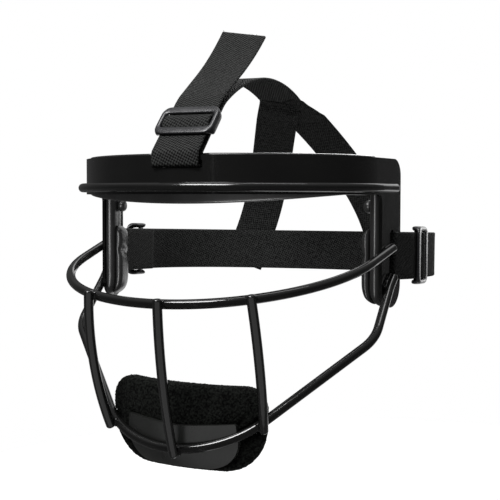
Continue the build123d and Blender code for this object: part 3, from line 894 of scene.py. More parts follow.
@dataclass
class Cage:
    """Enamelled steel: the CAD solids with their finish, and the weld beads that join them."""

    palette: Palette
    wires: tuple[str, ...] = ("cheek_wire", "chin_wire")
    bars: tuple[str, ...] = ("centre_bar", "left_bar", "right_bar")
    plate_rim: float = 0.45 * MM
    bead_radius: float = 1.15 * MM
    drop_pitch: float = 1.1 * MM
    drop_scatter: float = 0.08 * MM
    drop_spread: float = 0.12
    flow: float = 0.35 * MM
    plate_weld: tuple[float, float] = (1.5 * MM, 0.3 * MM)
    plate_weld_share: float = 0.75
    bar_weld: tuple[float, float] = (1.9 * MM, -0.2 * MM)
    bar_weld_length: float = 3.4 * MM
    face_setback: float = 30.0 * MM
    plate_touch: float = 0.1 * MM
    bar_touch: float = 0.25 * MM

    def bead(self, name: str, middle: Array, along: Array, length: float, seed: int) -> Object:
        """One run of weld: a line of uneven overlapping drops.

        Args:
            name: Name of the piece.
            middle: Its middle.
            along: Unit vector along it.
            length: Its length.
            seed: Seed of its unevenness.

        Returns:
            The bead.
        """
        random = np.random.default_rng(seed)
        made = bmesh.new()
        drops = max(3, round(length / self.drop_pitch))
        for index in range(drops):
            scatter = random.normal(0, self.drop_scatter, 3)
            place = middle + along * length * ((index + 0.5) / drops - 0.5) + scatter
            radius = self.bead_radius * (1 + random.uniform(-self.drop_spread, self.drop_spread))
            drop = bmesh.ops.create_icosphere(made, subdivisions=2, radius=radius)
            bmesh.ops.translate(made, verts=drop["verts"], vec=Vector(place))
        mesh = bpy.data.meshes.new(name)
        made.to_mesh(mesh)
        made.free()
        piece = add_object(name, mesh, self.palette.enamel)
        remesh = piece.modifiers.new("Flow", "REMESH")
        remesh.mode, remesh.voxel_size, remesh.use_smooth_shade = "VOXEL", self.flow, True
        piece.modifiers.new("Relax", "SMOOTH").iterations = 3
        apply_modifiers(piece)
        return piece

    def pair(
        self, middle: Array, along: Array, outward: Array,
        offset: tuple[float, float], length: float, seed: int
    ) -> list[Object]:
        """A bead on either side of a joint.

        Args:
            middle: Middle of the joint.
            along: Unit vector along it.
            outward: Unit vector out of it.
            offset: Distances of each bead aside and outwards.
            length: Length of each bead.
            seed: Seed of their unevenness.

        Returns:
            The two beads.
        """
        aside = unit(np.cross(along, outward))
        beads = []
        for sign in (-1, 1):
            place = middle + aside * sign * offset[0] + outward * offset[1]
            beads.append(self.bead(f"bead_{seed}", place, along, length, seed + sign))
        return beads

    def crossings(self) -> list[tuple[Array, Array]]:
        """Places where a bar touches a wire, with the bar's direction there."""
        found = []
        trees = [tree_of(solid(wire)) for wire in self.wires]
        for bar in self.bars:
            low, high = (np.array(corner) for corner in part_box(bar))
            for tree in trees:
                near = touching(solid(bar), tree, self.bar_touch)
                along = np.array([0.0, 0.1 * (high[1] - low[1]), high[2] - low[2]])
                found.append((np.mean(near, axis=0), unit(along)))
        return found

    def ends(self) -> list[tuple[Array, Array, Array, float]]:
        """Contacts of the cage wires with the plates: middle, direction, outward normal and length."""
        tree, found = tree_of(solid("face_plate")), []
        for wire in self.wires:
            near = touching(solid(wire), tree, self.plate_touch)
            for side in Side:
                mine = near[near[:, 0] * side.value > 0]
                middle = mine.mean(axis=0)
                along = np.linalg.svd(mine - middle)[2][0]
                reach = (mine - middle) @ along
                found.append((middle, along, -BAND.plate_axes(side)[2], float(reach.max() - reach.min())))
        return found

    def build(self) -> None:
        """Dresses the solids, and welds the wires to the plates and the bars to the wires."""
        for name in ("face_plate", "brow_wire", *self.wires, *self.bars):
            dress_node(name, self.palette.enamel, self.plate_rim if name == "face_plate" else 0.0)
        beads: list[Object] = []
        for index, (middle, along, outward, length) in enumerate(self.ends()):
            length *= self.plate_weld_share
            beads += self.pair(middle, along, outward, self.plate_weld, length, 50 * index + 7)
        for index, (middle, along) in enumerate(self.crossings()):
            outward = unit(np.array([middle[0], middle[1] + self.face_setback, 0]))
            beads += self.pair(middle, along, outward, self.bar_weld, self.bar_weld_length, 10 * index + 3)
        settle(join("bar_welds", beads))


# Pads


@dataclass
class BrowPad:
    """Vinyl covered foam inside the band: bowed lower edge, crowned face, dent behind the forehead slot."""

    palette: Palette
    thickness: float = 7.0 * MM
    edge: float = 2.6 * MM
    crown: float = 0.5 * MM
    corner: float = 3.0 * MM
    face_margin: float = 1.2 * MM
    rise: float = 1.0 * MM
    drop: float = 4.7 * MM
    bow: float = 4.5 * MM
    bow_half_width: float = 75.0 * MM
    end_gap: float = 2.4 * MM
    dent_depth: float = 4.4 * MM
    dent_half_width: float = 14.3 * MM
    dent_bottom: float = 26.6 * MM
    dent_side: float = 0.6 * MM
    dent_slope: float = 0.8 * MM
    held_depth: float = 1.0 * MM
    dent_held: float = 4.0 * MM
    swelling: float = 0.8 * MM
    spacing: float = 2.2 * MM

    def build(self) -> None:
        """Builds the pad round the inside of the band."""
        points, headings, lengths = BAND.half(BAND.lead).walk(1.0 * MM)
        keep = points[:, 1] < points[-1, 1] - self.end_gap
        points, headings, lengths = points[keep], headings[keep], lengths[keep]
        low, high = BAND.bottom - self.drop, BAND.top + self.rise
        half = (high - low) / 2
        profile = pad_profile(self.thickness - self.crown, self.edge, self.crown, half - self.face_margin)
        local, faces = Pillow(lengths[-1], half, (self.corner,) * 4, profile, self.spacing).shell()
        across, up, out = local.T
        place = np.clip(np.abs(across), 0, lengths[-1])
        x, y, *heading = (np.interp(place, lengths, values) for values in (*points.T, *headings.T))
        inward = unit(np.column_stack([-heading[1], heading[0]]))
        share = (up + half) / (2 * half)
        bowed = self.bow * (np.minimum(x, self.bow_half_width) / self.bow_half_width) ** 2
        height = low + share * (high - low) + bowed * (1 - share)
        start = BAND.sheet + BAND.gap
        beside = np.clip((self.dent_half_width - x) / self.dent_side, 0, 1)
        dented = beside * np.clip((height - self.dent_bottom) / self.dent_slope, 0, 1)
        depth = np.maximum(start + out, dented * (BAND.sheet + self.dent_depth))
        sign = np.where(across < 0, -1, 1)
        world = np.column_stack([(x + inward[:, 0] * depth) * sign, y + inward[:, 1] * depth, height])
        pad = mesh_object("brow_cushion", world, faces, self.palette.vinyl)
        cushion(pad, "brow_pad", self.swelling, depth < start + self.held_depth + dented * self.dent_held)


@dataclass
class TemplePads:
    """Vinyl pads down each temple plate, with the shorter inner pad and the stud on them."""

    palette: Palette
    depth: float = 11.8 * MM
    front_bulge: float = 1.0 * MM
    face_margin: float = 0.7 * MM
    swelling: float = 0.5 * MM
    thinnest: float = 0.15
    thickness: float = 5.6 * MM
    edge: float = 3.2 * MM
    crown: float = 0.2 * MM
    back: float = 1.9 * MM
    bottom: float = -42.8 * MM
    top: float = 31.0 * MM
    foot_radius: float = 8.0 * MM
    corner_radius: float = 3.0 * MM
    foot_taper: float = 11.0 * MM
    held_depth: float = 1.2 * MM
    spacing: float = 1.8 * MM
    inner_thickness: float = 4.4 * MM
    inner_edge: float = 2.5 * MM
    inner_crown: float = 0.4 * MM
    inner_sink: float = 0.3 * MM
    inner_back: float = 1.5 * MM
    inner_inset: float = 0.6 * MM
    inner_bottom: float = -41.8 * MM
    inner_top: float = -2.2 * MM
    inner_radius: float = 4.6 * MM
    inner_taper: float = 7.0 * MM
    inner_held_depth: float = 1.0 * MM
    inner_spacing: float = 1.6 * MM
    crease: float = -17.5 * MM
    crease_slant: float = 0.35
    crease_depth: float = 2.0 * MM
    crease_width: float = 1.5 * MM
    crease_held_width: float = 1.6 * MM
    stud_radius: float = 3.5 * MM
    stud_height: float = 4.6 * MM
    stud_setback: float = 6.0 * MM
    stud_level: float = 9.2 * MM
    stud_outline: tuple[tuple[float, float], ...] = (
        (1.0, 0.0), (1.0, 0.45), (0.97, 0.62), (0.86, 0.8), (0.68, 0.92), (0.4, 0.985))

    def place(self, side: Side, local: Array, level: float, start: float) -> Array:
        """Moves pad points onto a temple plate.

        Args:
            side: Which plate.
            local: Distances across, up and inwards.
            level: Height of the pad's middle.
            start: Inset of the pad's back from the plate's outer face.

        Returns:
            Places in the frame.
        """
        front, rearward, inward = BAND.plate_axes(side)
        setback = (self.depth - self.front_bulge) / 2 + local[:, 0:1]
        return front + rearward * setback + inward * (start + local[:, 2:3]) + UP * (level + local[:, 1:2])

    def taper(self, distance: Array, length: float) -> Array:
        """Share of the thickness left at a distance from a pad's end, where the taper has a length."""
        share = np.clip(distance / length, 0, 1)
        return self.thinnest + (1 - self.thinnest) * np.sqrt(1 - (1 - share) ** 2)

    def pad(self, side: Side) -> None:
        """Builds the long pad."""
        half, middle = (self.top - self.bottom) / 2, (self.top + self.bottom) / 2
        wide = (self.depth + self.front_bulge) / 2
        thickness, reach = self.thickness - self.crown, wide - self.face_margin
        profile = pad_profile(thickness, self.edge, self.crown, reach, self.back)
        radii = (*(self.corner_radius,) * 3, self.foot_radius)
        local, faces = Pillow(wide, half, radii, profile, self.spacing).shell()
        local[:, 2] *= self.taper(local[:, 1] + half, self.foot_taper)
        world = self.place(side, local, middle, BAND.sheet + BAND.gap)
        piece = mesh_object(f"{side.word}_temple_cushion", world, faces, self.palette.vinyl)
        cushion(piece, f"{side.word}_temple_pad", self.swelling, local[:, 2] < self.held_depth)

    def inner(self, side: Side) -> None:
        """Builds the shorter pad with the crease across it."""
        half, middle = (self.inner_top - self.inner_bottom) / 2, (self.inner_top + self.inner_bottom) / 2
        wide = (self.depth + self.front_bulge) / 2 - self.inner_inset
        thickness, reach = self.inner_thickness - self.inner_sink, wide - self.face_margin
        profile = pad_profile(thickness, self.inner_edge, self.inner_crown, reach, self.inner_back)
        local, faces = Pillow(wide, half, (self.inner_radius,) * 4, profile, self.inner_spacing).shell()
        across, up, out = local.T.copy()
        slope = up + middle - self.crease + self.crease_slant * across
        raised = np.clip(out / self.inner_thickness, 0, 1)
        ends = self.taper(up + half, self.foot_taper) * self.taper(half - up, self.inner_taper)
        sunk = raised * self.crease_depth * np.exp(-((slope / self.crease_width) ** 2))
        below = self.thickness * (self.taper(up + middle - self.bottom, self.foot_taper) - 1)
        local[:, 2] = out * ends - sunk + below
        world = self.place(side, local, middle, BAND.sheet + 2 * BAND.gap + self.thickness)
        piece = mesh_object(f"{side.word}_inner_cushion", world, faces, self.palette.vinyl)
        held = np.maximum(out < self.inner_held_depth, np.exp(-((slope / self.crease_held_width) ** 2)))
        cushion(piece, f"{side.word}_inner_pad", self.swelling, held)

    def stud(self, side: Side) -> Object:
        """Builds the domed stud with its rolled collar."""
        front, rearward, inward = BAND.plate_axes(side)
        base = front + rearward * self.stud_setback + inward * (BAND.sheet + BAND.gap + self.thickness)
        base = base + UP * self.stud_level
        count = 28
        turns = np.linspace(0, 2 * math.pi, count, endpoint=False)[:, None]
        aside = (rearward * np.cos(turns) + UP * np.sin(turns)) * self.stud_radius
        outline, rise = self.stud_outline, self.stud_height
        rings = [base + aside * radius + inward * height * rise for radius, height in outline]
        points = np.vstack([*rings, base + inward * self.stud_height])
        faces, last = quads(len(rings), count), (len(rings) - 1) * count
        faces += [(last + index, last + (index + 1) % count, len(points) - 1) for index in range(count)]
        faces.append(tuple(range(count)))
        return mesh_object(f"{side.word}_stud", points, faces, self.palette.vinyl)

    def build(self) -> None:
        """Builds both sides."""
        for side in Side:
            self.pad(side)
            self.inner(side)
        studs = join("temple_studs", [self.stud(side) for side in Side])
        subdivide(studs)
        settle(studs, replaced=("pad_studs",))


@dataclass
class ChinSet:
    """Fleece faced chin pad and the moulded cup between it and the chin wire."""

    palette: Palette
    wire_height: float = -108.4 * MM
    offset: float = 1.5 * MM
    roll: float = 1.7
    radius: float = 84.0 * MM
    wall_radius: float = 90.0 * MM
    bulge_rise: float = 21.0 * MM
    thickness: float = 9.0 * MM
    edge: float = 3.4 * MM
    margin: float = 2.2 * MM
    half_width: float = 45.6 * MM
    rise: float = 31.6 * MM
    drop: float = 11.6 * MM
    top_radius: float = 11.5 * MM
    foot_radius: float = 31.0 * MM
    front: float = -100.42 * MM
    press_depth: float = 8.0 * MM
    press_gap: float = 0.5 * MM
    tuft: float = 0.11 * MM
    cup_rim: float = 0.5 * MM
    swelling: Swelling = Swelling(3.0, 1.2 * MM)
    held_depth: float = 1.0 * MM
    held_weight: float = 0.6
    pressing: tuple[str, ...] = ("chin_cup", "chin_wire", "left_bar", "right_bar", "centre_bar")

    def pad(self) -> None:
        """Builds the pad on its dished surface and dents it where cup and wire press."""
        half, middle = (self.rise + self.drop) / 2, (self.rise - self.drop) / 2
        profile = pad_profile(self.thickness, self.edge, 0.0, half - self.margin, self.margin)
        radii = (self.foot_radius, self.top_radius, self.top_radius, self.foot_radius)
        local, faces = Pillow(self.half_width, half, radii, profile, 2.0 * MM).shell()
        turn, height = local[:, 0] / self.radius, local[:, 1] + middle
        drop = self.wall_radius - math.sqrt(self.wall_radius**2 - self.bulge_rise**2)
        sag = self.wall_radius - np.sqrt(self.wall_radius**2 - (height - self.bulge_rise) ** 2)
        reach = self.radius - sag - (self.thickness - local[:, 2])
        across, roll = reach * np.sin(turn), math.radians(self.roll)
        x = across * math.cos(roll) + height * math.sin(roll) + self.offset
        y = self.front + self.radius - drop - reach * np.cos(turn)
        z = -across * math.sin(roll) + height * math.cos(roll) + self.wire_height
        outward = unit(np.column_stack([np.sin(turn), -np.cos(turn), np.zeros(len(turn))]))
        piece = mesh_object("chin_cushion", np.column_stack([x, y, z]), faces, self.palette.fleece)
        self.swelling.apply(piece, (local[:, 2] > self.thickness - self.held_depth) * self.held_weight)
        move(piece, self.clear(coordinates(piece.data), outward))
        subdivide(piece, 2)
        self.nap(piece)
        settle(piece, replaced=("chin_pad",))

    def clear(self, world: Array, outward: Array) -> Array:
        """Pushes points in behind the cup, the wire and the bars.

        Args:
            world: Points of the pad.
            outward: Unit vectors out of its front face.

        Returns:
            Points that are clear.
        """
        tree = tree_of(*(solid(name) for name in self.pressing))
        out = world.copy()
        for index, (point, normal) in enumerate(zip(world, outward)):
            start = point - normal * self.press_depth
            hit = tree.ray_cast(Vector(start), Vector(normal), self.press_depth + self.press_gap)
            if hit[0] is not None:
                out[index] = start + normal * (hit[3] - self.press_gap)
        return out

    def nap(self, piece: Object) -> None:
        """Roughens the fleece with fine uneven tufts."""
        random = np.random.default_rng(7)
        points = coordinates(piece.data)
        normals = np.empty(len(points) * 3)
        piece.data.vertices.foreach_get("normal", normals)
        move(piece, points + normals.reshape(-1, 3) * random.normal(0, self.tuft, len(points))[:, None])

    def build(self) -> None:
        """Dresses the cup and builds the pad."""
        dress_node("chin_cup", self.palette.cup, self.cup_rim)
        self.pad()


# Harness


@dataclass
class CrownStrap:
    """Free tail, run to the forehead slot, fold, second run, and the way over the crown, in the YZ plane."""

    palette: Palette
    ribbon: Ribbon = field(default_factory=Ribbon)
    fold_radius: float = 1.2 * MM
    fold_height: float = 29.25 * MM
    front_y: float = -102.05 * MM
    rear_y: float = -97.237 * MM
    lean: float = 46.0
    lean_radius: float = 3.0 * MM
    lean_start: float = 34.7 * MM
    pitch: float = 3.7 * MM
    doubled: float = 34.5 * MM
    twist: float = 9.0
    tail: tuple[Step, ...] = (bend(40 * MM, -12), Step(20 * MM), bend(172 * MM, 14))
    crown: tuple[Step, ...] = (bend(35 * MM, -15.5), bend(130 * MM, -58.1))
    free_from: float = 46.0 * MM
    tail_drift: float = 1.5 * MM
    yarns: int = 46
    yarn_radius: float = 0.11 * MM
    yarn_lengths: tuple[float, float] = (0.3 * MM, 1.1 * MM)
    yarn_root: float = 0.3 * MM
    yarn_spread: tuple[float, float] = (12.2 * MM, 0.4 * MM)
    yarn_lean: tuple[float, float] = (0.5, 0.3)
    worn_corner: float = -11.5 * MM
    worn_width: float = 1.6 * MM
    worn_gain: float = 1.6

    def layer(
        self, side_y: float, rise: float, doubled: float, rest: Sequence[Step], facing: int
    ) -> list[Step]:
        """Steps of one layer from the middle of the forehead slot.

        Args:
            side_y: Where the layer rises.
            rise: Height at which it starts to lean.
            doubled: Length of the leaning run.
            rest: Steps after that run.
            facing: 1 in front of the band, -1 behind it.

        Returns:
            The steps.
        """
        middle = BAND.sheet / 2 - BAND.reach
        return [
            Step(abs(side_y - middle) - self.fold_radius),
            bend(self.fold_radius, -90 * facing),
            Step(rise - self.fold_height - self.fold_radius),
            bend(self.lean_radius, -self.lean),
            Step(doubled),
            *rest,
        ]

    def zone(self) -> tuple[Array, Array, Array]:
        """Start of the doubled run between its layers, the way along it and the way back, in the YZ plane."""
        lean = math.radians(self.lean)
        tangent = self.lean_radius * math.tan(lean / 2)
        along = np.array([math.sin(lean), math.cos(lean)])
        back = np.array([math.cos(lean), -math.sin(lean)])
        corner = self.lean_start + tangent
        return np.array([self.front_y, corner]) + along * tangent + back * self.pitch / 2, along, back

    def paths(self) -> tuple[FlatPath, FlatPath]:
        """Front and rear halves of the strap from the slot."""
        tangent = self.lean_radius * math.tan(math.radians(self.lean) / 2)
        zone, along, back = self.zone()
        corner = self.lean_start + tangent
        rear_corner = corner + ((self.rear_y - self.front_y) * back[0] - self.pitch) / -back[1]
        rear_start = np.array([self.rear_y, rear_corner]) + along * tangent
        rear_run = float((zone + along * self.doubled - rear_start) @ along)
        start = (BAND.sheet / 2 - BAND.reach, self.fold_height)
        front = FlatPath(start, 180.0, self.layer(self.front_y, self.lean_start, self.doubled, self.tail, 1))
        rear = FlatPath(start, 0.0, self.layer(self.rear_y, rear_corner - tangent, rear_run, self.crown, -1))
        return front, rear

    def end(self) -> tuple[Array, float]:
        """Rear end of the strap and its heading in degrees."""
        points, headings, _ = self.paths()[1].walk()
        return points[-1], math.degrees(math.atan2(headings[-1][1], headings[-1][0]))

    def build(self) -> None:
        """Builds the strap in one length, with its slightly twisted tail and frayed end."""
        front, rear = self.paths()
        front_points, _, front_lengths = front.walk(1.5 * MM)
        flat = np.vstack([front_points[::-1], rear.walk(1.5 * MM)[0][1:]])
        middles = np.column_stack([np.zeros(len(flat)), flat])
        from_slot = np.concatenate([front_lengths[::-1], np.zeros(len(flat) - len(front_points))])
        free = np.clip((from_slot - self.free_from) / (front_lengths[-1] - self.free_from), 0, 1)
        turn = np.radians(self.twist) * free**1.5
        level = np.tile([1.0, 0.0, 0.0], (len(flat), 1))
        normal = np.cross(level, unit(np.gradient(middles, axis=0)))
        across = level * np.cos(turn)[:, None] + normal * np.sin(turn)[:, None]
        middles[:, 0] += self.tail_drift * free**2
        strap = self.ribbon.make("crown_webbing", middles, across, self.palette.webbing)
        settle(strap, replaced=("crown_strap",))
        self.fray(middles[0], unit(middles[0] - middles[4]), across[0])

    def fray(self, end: Array, outward: Array, across: Array) -> None:
        """Adds loose yarn ends along the cut, longest at one corner.

        Args:
            end: Middle of the cut.
            outward: Unit vector out of the strap.
            across: Unit vector across it.
        """
        random = np.random.default_rng(11)
        wide, deep = self.yarn_spread
        aslant, upward = self.yarn_lean
        yarns = []
        for index in range(self.yarns):
            aside = random.uniform(-wide, wide)
            edge = 1 + self.worn_gain * math.exp(-(((aside - self.worn_corner) / self.worn_width) ** 2))
            length = random.uniform(*self.yarn_lengths) * edge
            start = end + across * aside - outward * self.yarn_root + UP * random.uniform(-deep, deep)
            lean = across * random.uniform(-aslant, aslant) + UP * random.uniform(-upward, upward)
            points = [start + (outward + lean * share) * length * share for share in (0, 0.5, 1.0)]
            yarns.append(spine(points, self.yarn_radius, f"yarn_{index}", self.palette.thread))
        settle(join("tail_yarns", yarns))


@dataclass
class RearStrap:
    """One length of webbing behind the head, with each end folded through a temple slot."""

    palette: Palette
    ribbon: Ribbon = field(default_factory=Ribbon)
    fall: float = 1.7
    reach: float = 109.5 * MM
    half_width: float = 90.75 * MM
    corner_radius: float = 60.0 * MM
    corner_turn: float = 73.0
    flare: float = 17.0
    flare_radius: float = 15.0 * MM
    tuck: float = 34.0
    tuck_radius: float = 2.6 * MM
    tuck_gap: float = 0.4 * MM
    fold_radius: float = 1.2 * MM
    slot_setback: float = 14.2 * MM
    slot_height: float = -16.7 * MM
    pitch: float = 3.7 * MM
    tail: float = 36.0 * MM

    @property
    def arc_radius(self) -> float:
        """Radius behind the head."""
        drop = self.corner_radius * (1 - math.cos(math.radians(self.corner_turn)))
        return (self.half_width - drop) / math.sin(math.radians(90 - self.corner_turn))

    def slot(self) -> Array:
        """Middle of the left slot in the sheet."""
        front, rearward, inward = BAND.plate_axes(Side.LEFT)
        return front + rearward * self.slot_setback + inward * BAND.sheet / 2

    def to_frame(self, x: Array, y: Array, z: float = 0.0) -> Array:
        """Places from the strap's falling plane in the frame."""
        fall = math.radians(self.fall)
        level = self.slot_height + self.slot()[1] * math.tan(fall)
        x, y = np.asarray(x, float), np.asarray(y, float)
        rearward = y * math.cos(fall) + z * math.sin(fall)
        up = level - y * math.sin(fall) + z * math.cos(fall)
        return np.stack([x, rearward, up], axis=-1)

    def half(self) -> FlatPath:
        """Left half, from behind the head to the end of the tail."""
        arc = 90 - self.corner_turn
        head = [bend(self.arc_radius, -arc), bend(self.corner_radius, -self.corner_turn)]
        flare = bend(self.flare_radius, -self.flare)
        into = bend(self.fold_radius, self.flare + 90 - BAND.splay - 180)
        half_webbing = self.ribbon.thickness / 2
        run = BAND.sheet + 2 * (BAND.gap + half_webbing) - 2 * self.fold_radius
        start = (0.0, self.reach)
        fixed = FlatPath(start, 0.0, [*head, flare, into, Step(run / 2)]).walk()[0][-1]
        gap = self.slot()[:2] - fixed
        slant = math.radians(-90 - self.flare)
        slant_run = gap[0] / math.cos(slant)
        side_run = slant_run * math.sin(slant) - gap[1]
        outside = [*head, Step(side_run), flare, Step(slant_run), into, Step(run)]
        plate_run = BAND.plate - self.slot_setback - self.fold_radius + self.tuck_gap
        inside = [bend(self.fold_radius, -90), Step(plate_run), bend(self.tuck_radius, -self.tuck)]
        untuck = bend(self.tuck_radius, self.tuck + BAND.splay)
        here, headings, _ = FlatPath(start, 0.0, [*outside, *inside, untuck]).walk()
        turn = math.atan2(headings[-1][1], headings[-1][0]) - math.radians(self.tuck + BAND.splay)
        cross = (self.half_width - self.pitch - here[-1][0]) / math.cos(turn)
        return FlatPath(start, 0.0, [*outside, *inside, Step(cross), untuck, Step(self.tail)])

    def build(self) -> None:
        """Builds the strap in one length."""
        points = self.half().walk(1.5 * MM)[0]
        flat = np.vstack([points[::-1] * [-1, 1], points[1:]])
        fall = math.radians(self.fall)
        across = np.tile([0.0, math.sin(fall), math.cos(fall)], (len(flat), 1))
        # Made in the darker webbing, whose darker shade is painted shade.
        strap = self.ribbon.make("rear_webbing", self.to_frame(*flat.T), across, self.palette.back_webbing)
        settle(strap, replaced=("rear_strap",))


@dataclass
class Branch:
    """One strap of the V, from under the crown strap to the rear strap."""

    palette: Palette
    crown: CrownStrap
    rear: RearStrap
    side: Side
    layer: int
    lap: float = 22.0 * MM
    lap_rows: int = 12
    lap_gap: float = 0.08 * MM
    lap_pressed: float = 8.0 * MM
    drift: float = 10.0 * MM
    free_rows: int = 60
    foot_share: float = 0.89
    foot_rows: int = 13
    foot_length: float = 24.2 * MM
    foot_tilt: float = 20.0
    pull: float = 82.0 * MM
    yaw: float = 28.0
    dip: float = 36.0
    crown_radius: float = 130.0 * MM

    @property
    def name(self) -> str:
        """Name of its mesh."""
        return f"{self.side.word}_branch_webbing"

    def pressed(self, distance: float | Array) -> float | Array:
        """Share of the thickness left at a distance from the upper end."""
        return 0.1 + 0.9 * np.clip(distance / self.lap_pressed, 0, 1) ** 2

    def lapped(self) -> list[Array]:
        """Middles of the part that is sewn under the crown strap, on the left."""
        end, heading = self.crown.end()
        inward = math.radians(heading - 90)
        centre = end + self.crown_radius * np.array([math.cos(inward), math.sin(inward)])
        middles = []
        for share in np.linspace(1, 0, self.lap_rows):
            angle = math.radians(heading + 90) + self.lap * share / self.crown_radius
            layers = 0.5 + (self.layer - 0.5) * self.pressed(self.lap * (1 - share))
            depth = layers * self.crown.ribbon.thickness + self.layer * self.lap_gap
            place = centre + (self.crown_radius - depth) * np.array([math.cos(angle), math.sin(angle)])
            middles.append(np.array([self.drift * (1 - share), *place]))
        return middles

    def foot(self) -> tuple[Array, Array, Array]:
        """Start of the part sewn to the rear strap, its way down and its level direction, on the left."""
        ribbon, arc = self.crown.ribbon, self.rear.arc_radius
        angle = math.asin(self.foot_share * math.sin(math.radians(90 - self.rear.corner_turn)))
        outer = arc + ribbon.thickness + BAND.gap
        x, y = outer * math.sin(angle), self.rear.reach - arc + outer * math.cos(angle)
        start = self.rear.to_frame(x, y, ribbon.width / 2)
        tilt = math.radians(self.foot_tilt)
        level = np.array([math.cos(angle), -math.sin(angle), 0])
        return start, level * math.sin(tilt) - UP * math.cos(tilt), level

    def line(self) -> tuple[Array, Array]:
        """Middles of this strap and the level direction in its surface at each."""
        middles = self.lapped()
        head, (foot, down, level) = middles[-1], self.foot()
        yaw, dip = math.radians(self.yaw), math.radians(self.dip)
        leave = np.array([math.sin(yaw) * math.cos(dip), math.cos(yaw) * math.cos(dip), -math.sin(dip)])
        shares = np.linspace(0, 1, self.free_rows + 1)[1:]
        for share in shares:
            rest = 1 - share
            blend = head * rest**2 * (1 + 2 * share) + foot * share**2 * (3 - 2 * share)
            middles.append(blend + leave * self.pull * share * rest**2 - down * self.pull * share**2 * rest)
        sewn = np.linspace(0, 1, self.foot_rows + 1)[1:]
        middles += [foot + down * self.foot_length * share for share in sewn]
        part = np.concatenate([np.zeros(self.lap_rows), shares, np.ones(self.foot_rows)])[:, None]
        levels = np.array([1.0, 0, 0]) * (1 - part) + level * part
        return np.array(middles) * self.side.mirror, unit(levels) * self.side.mirror

    def build(self) -> None:
        """Builds the strap."""
        middles, levels = self.line()
        along = unit(np.gradient(middles, axis=0))
        across = np.cross(along, unit(np.cross(levels, along)))
        press = self.pressed(distances(middles))
        # Made in the darker webbing, whose darker shade is painted shade.
        strap = self.crown.ribbon.make(self.name, middles, across, self.palette.back_webbing, press)
        settle(strap, replaced=(f"{self.side.word}_branch_strap",))


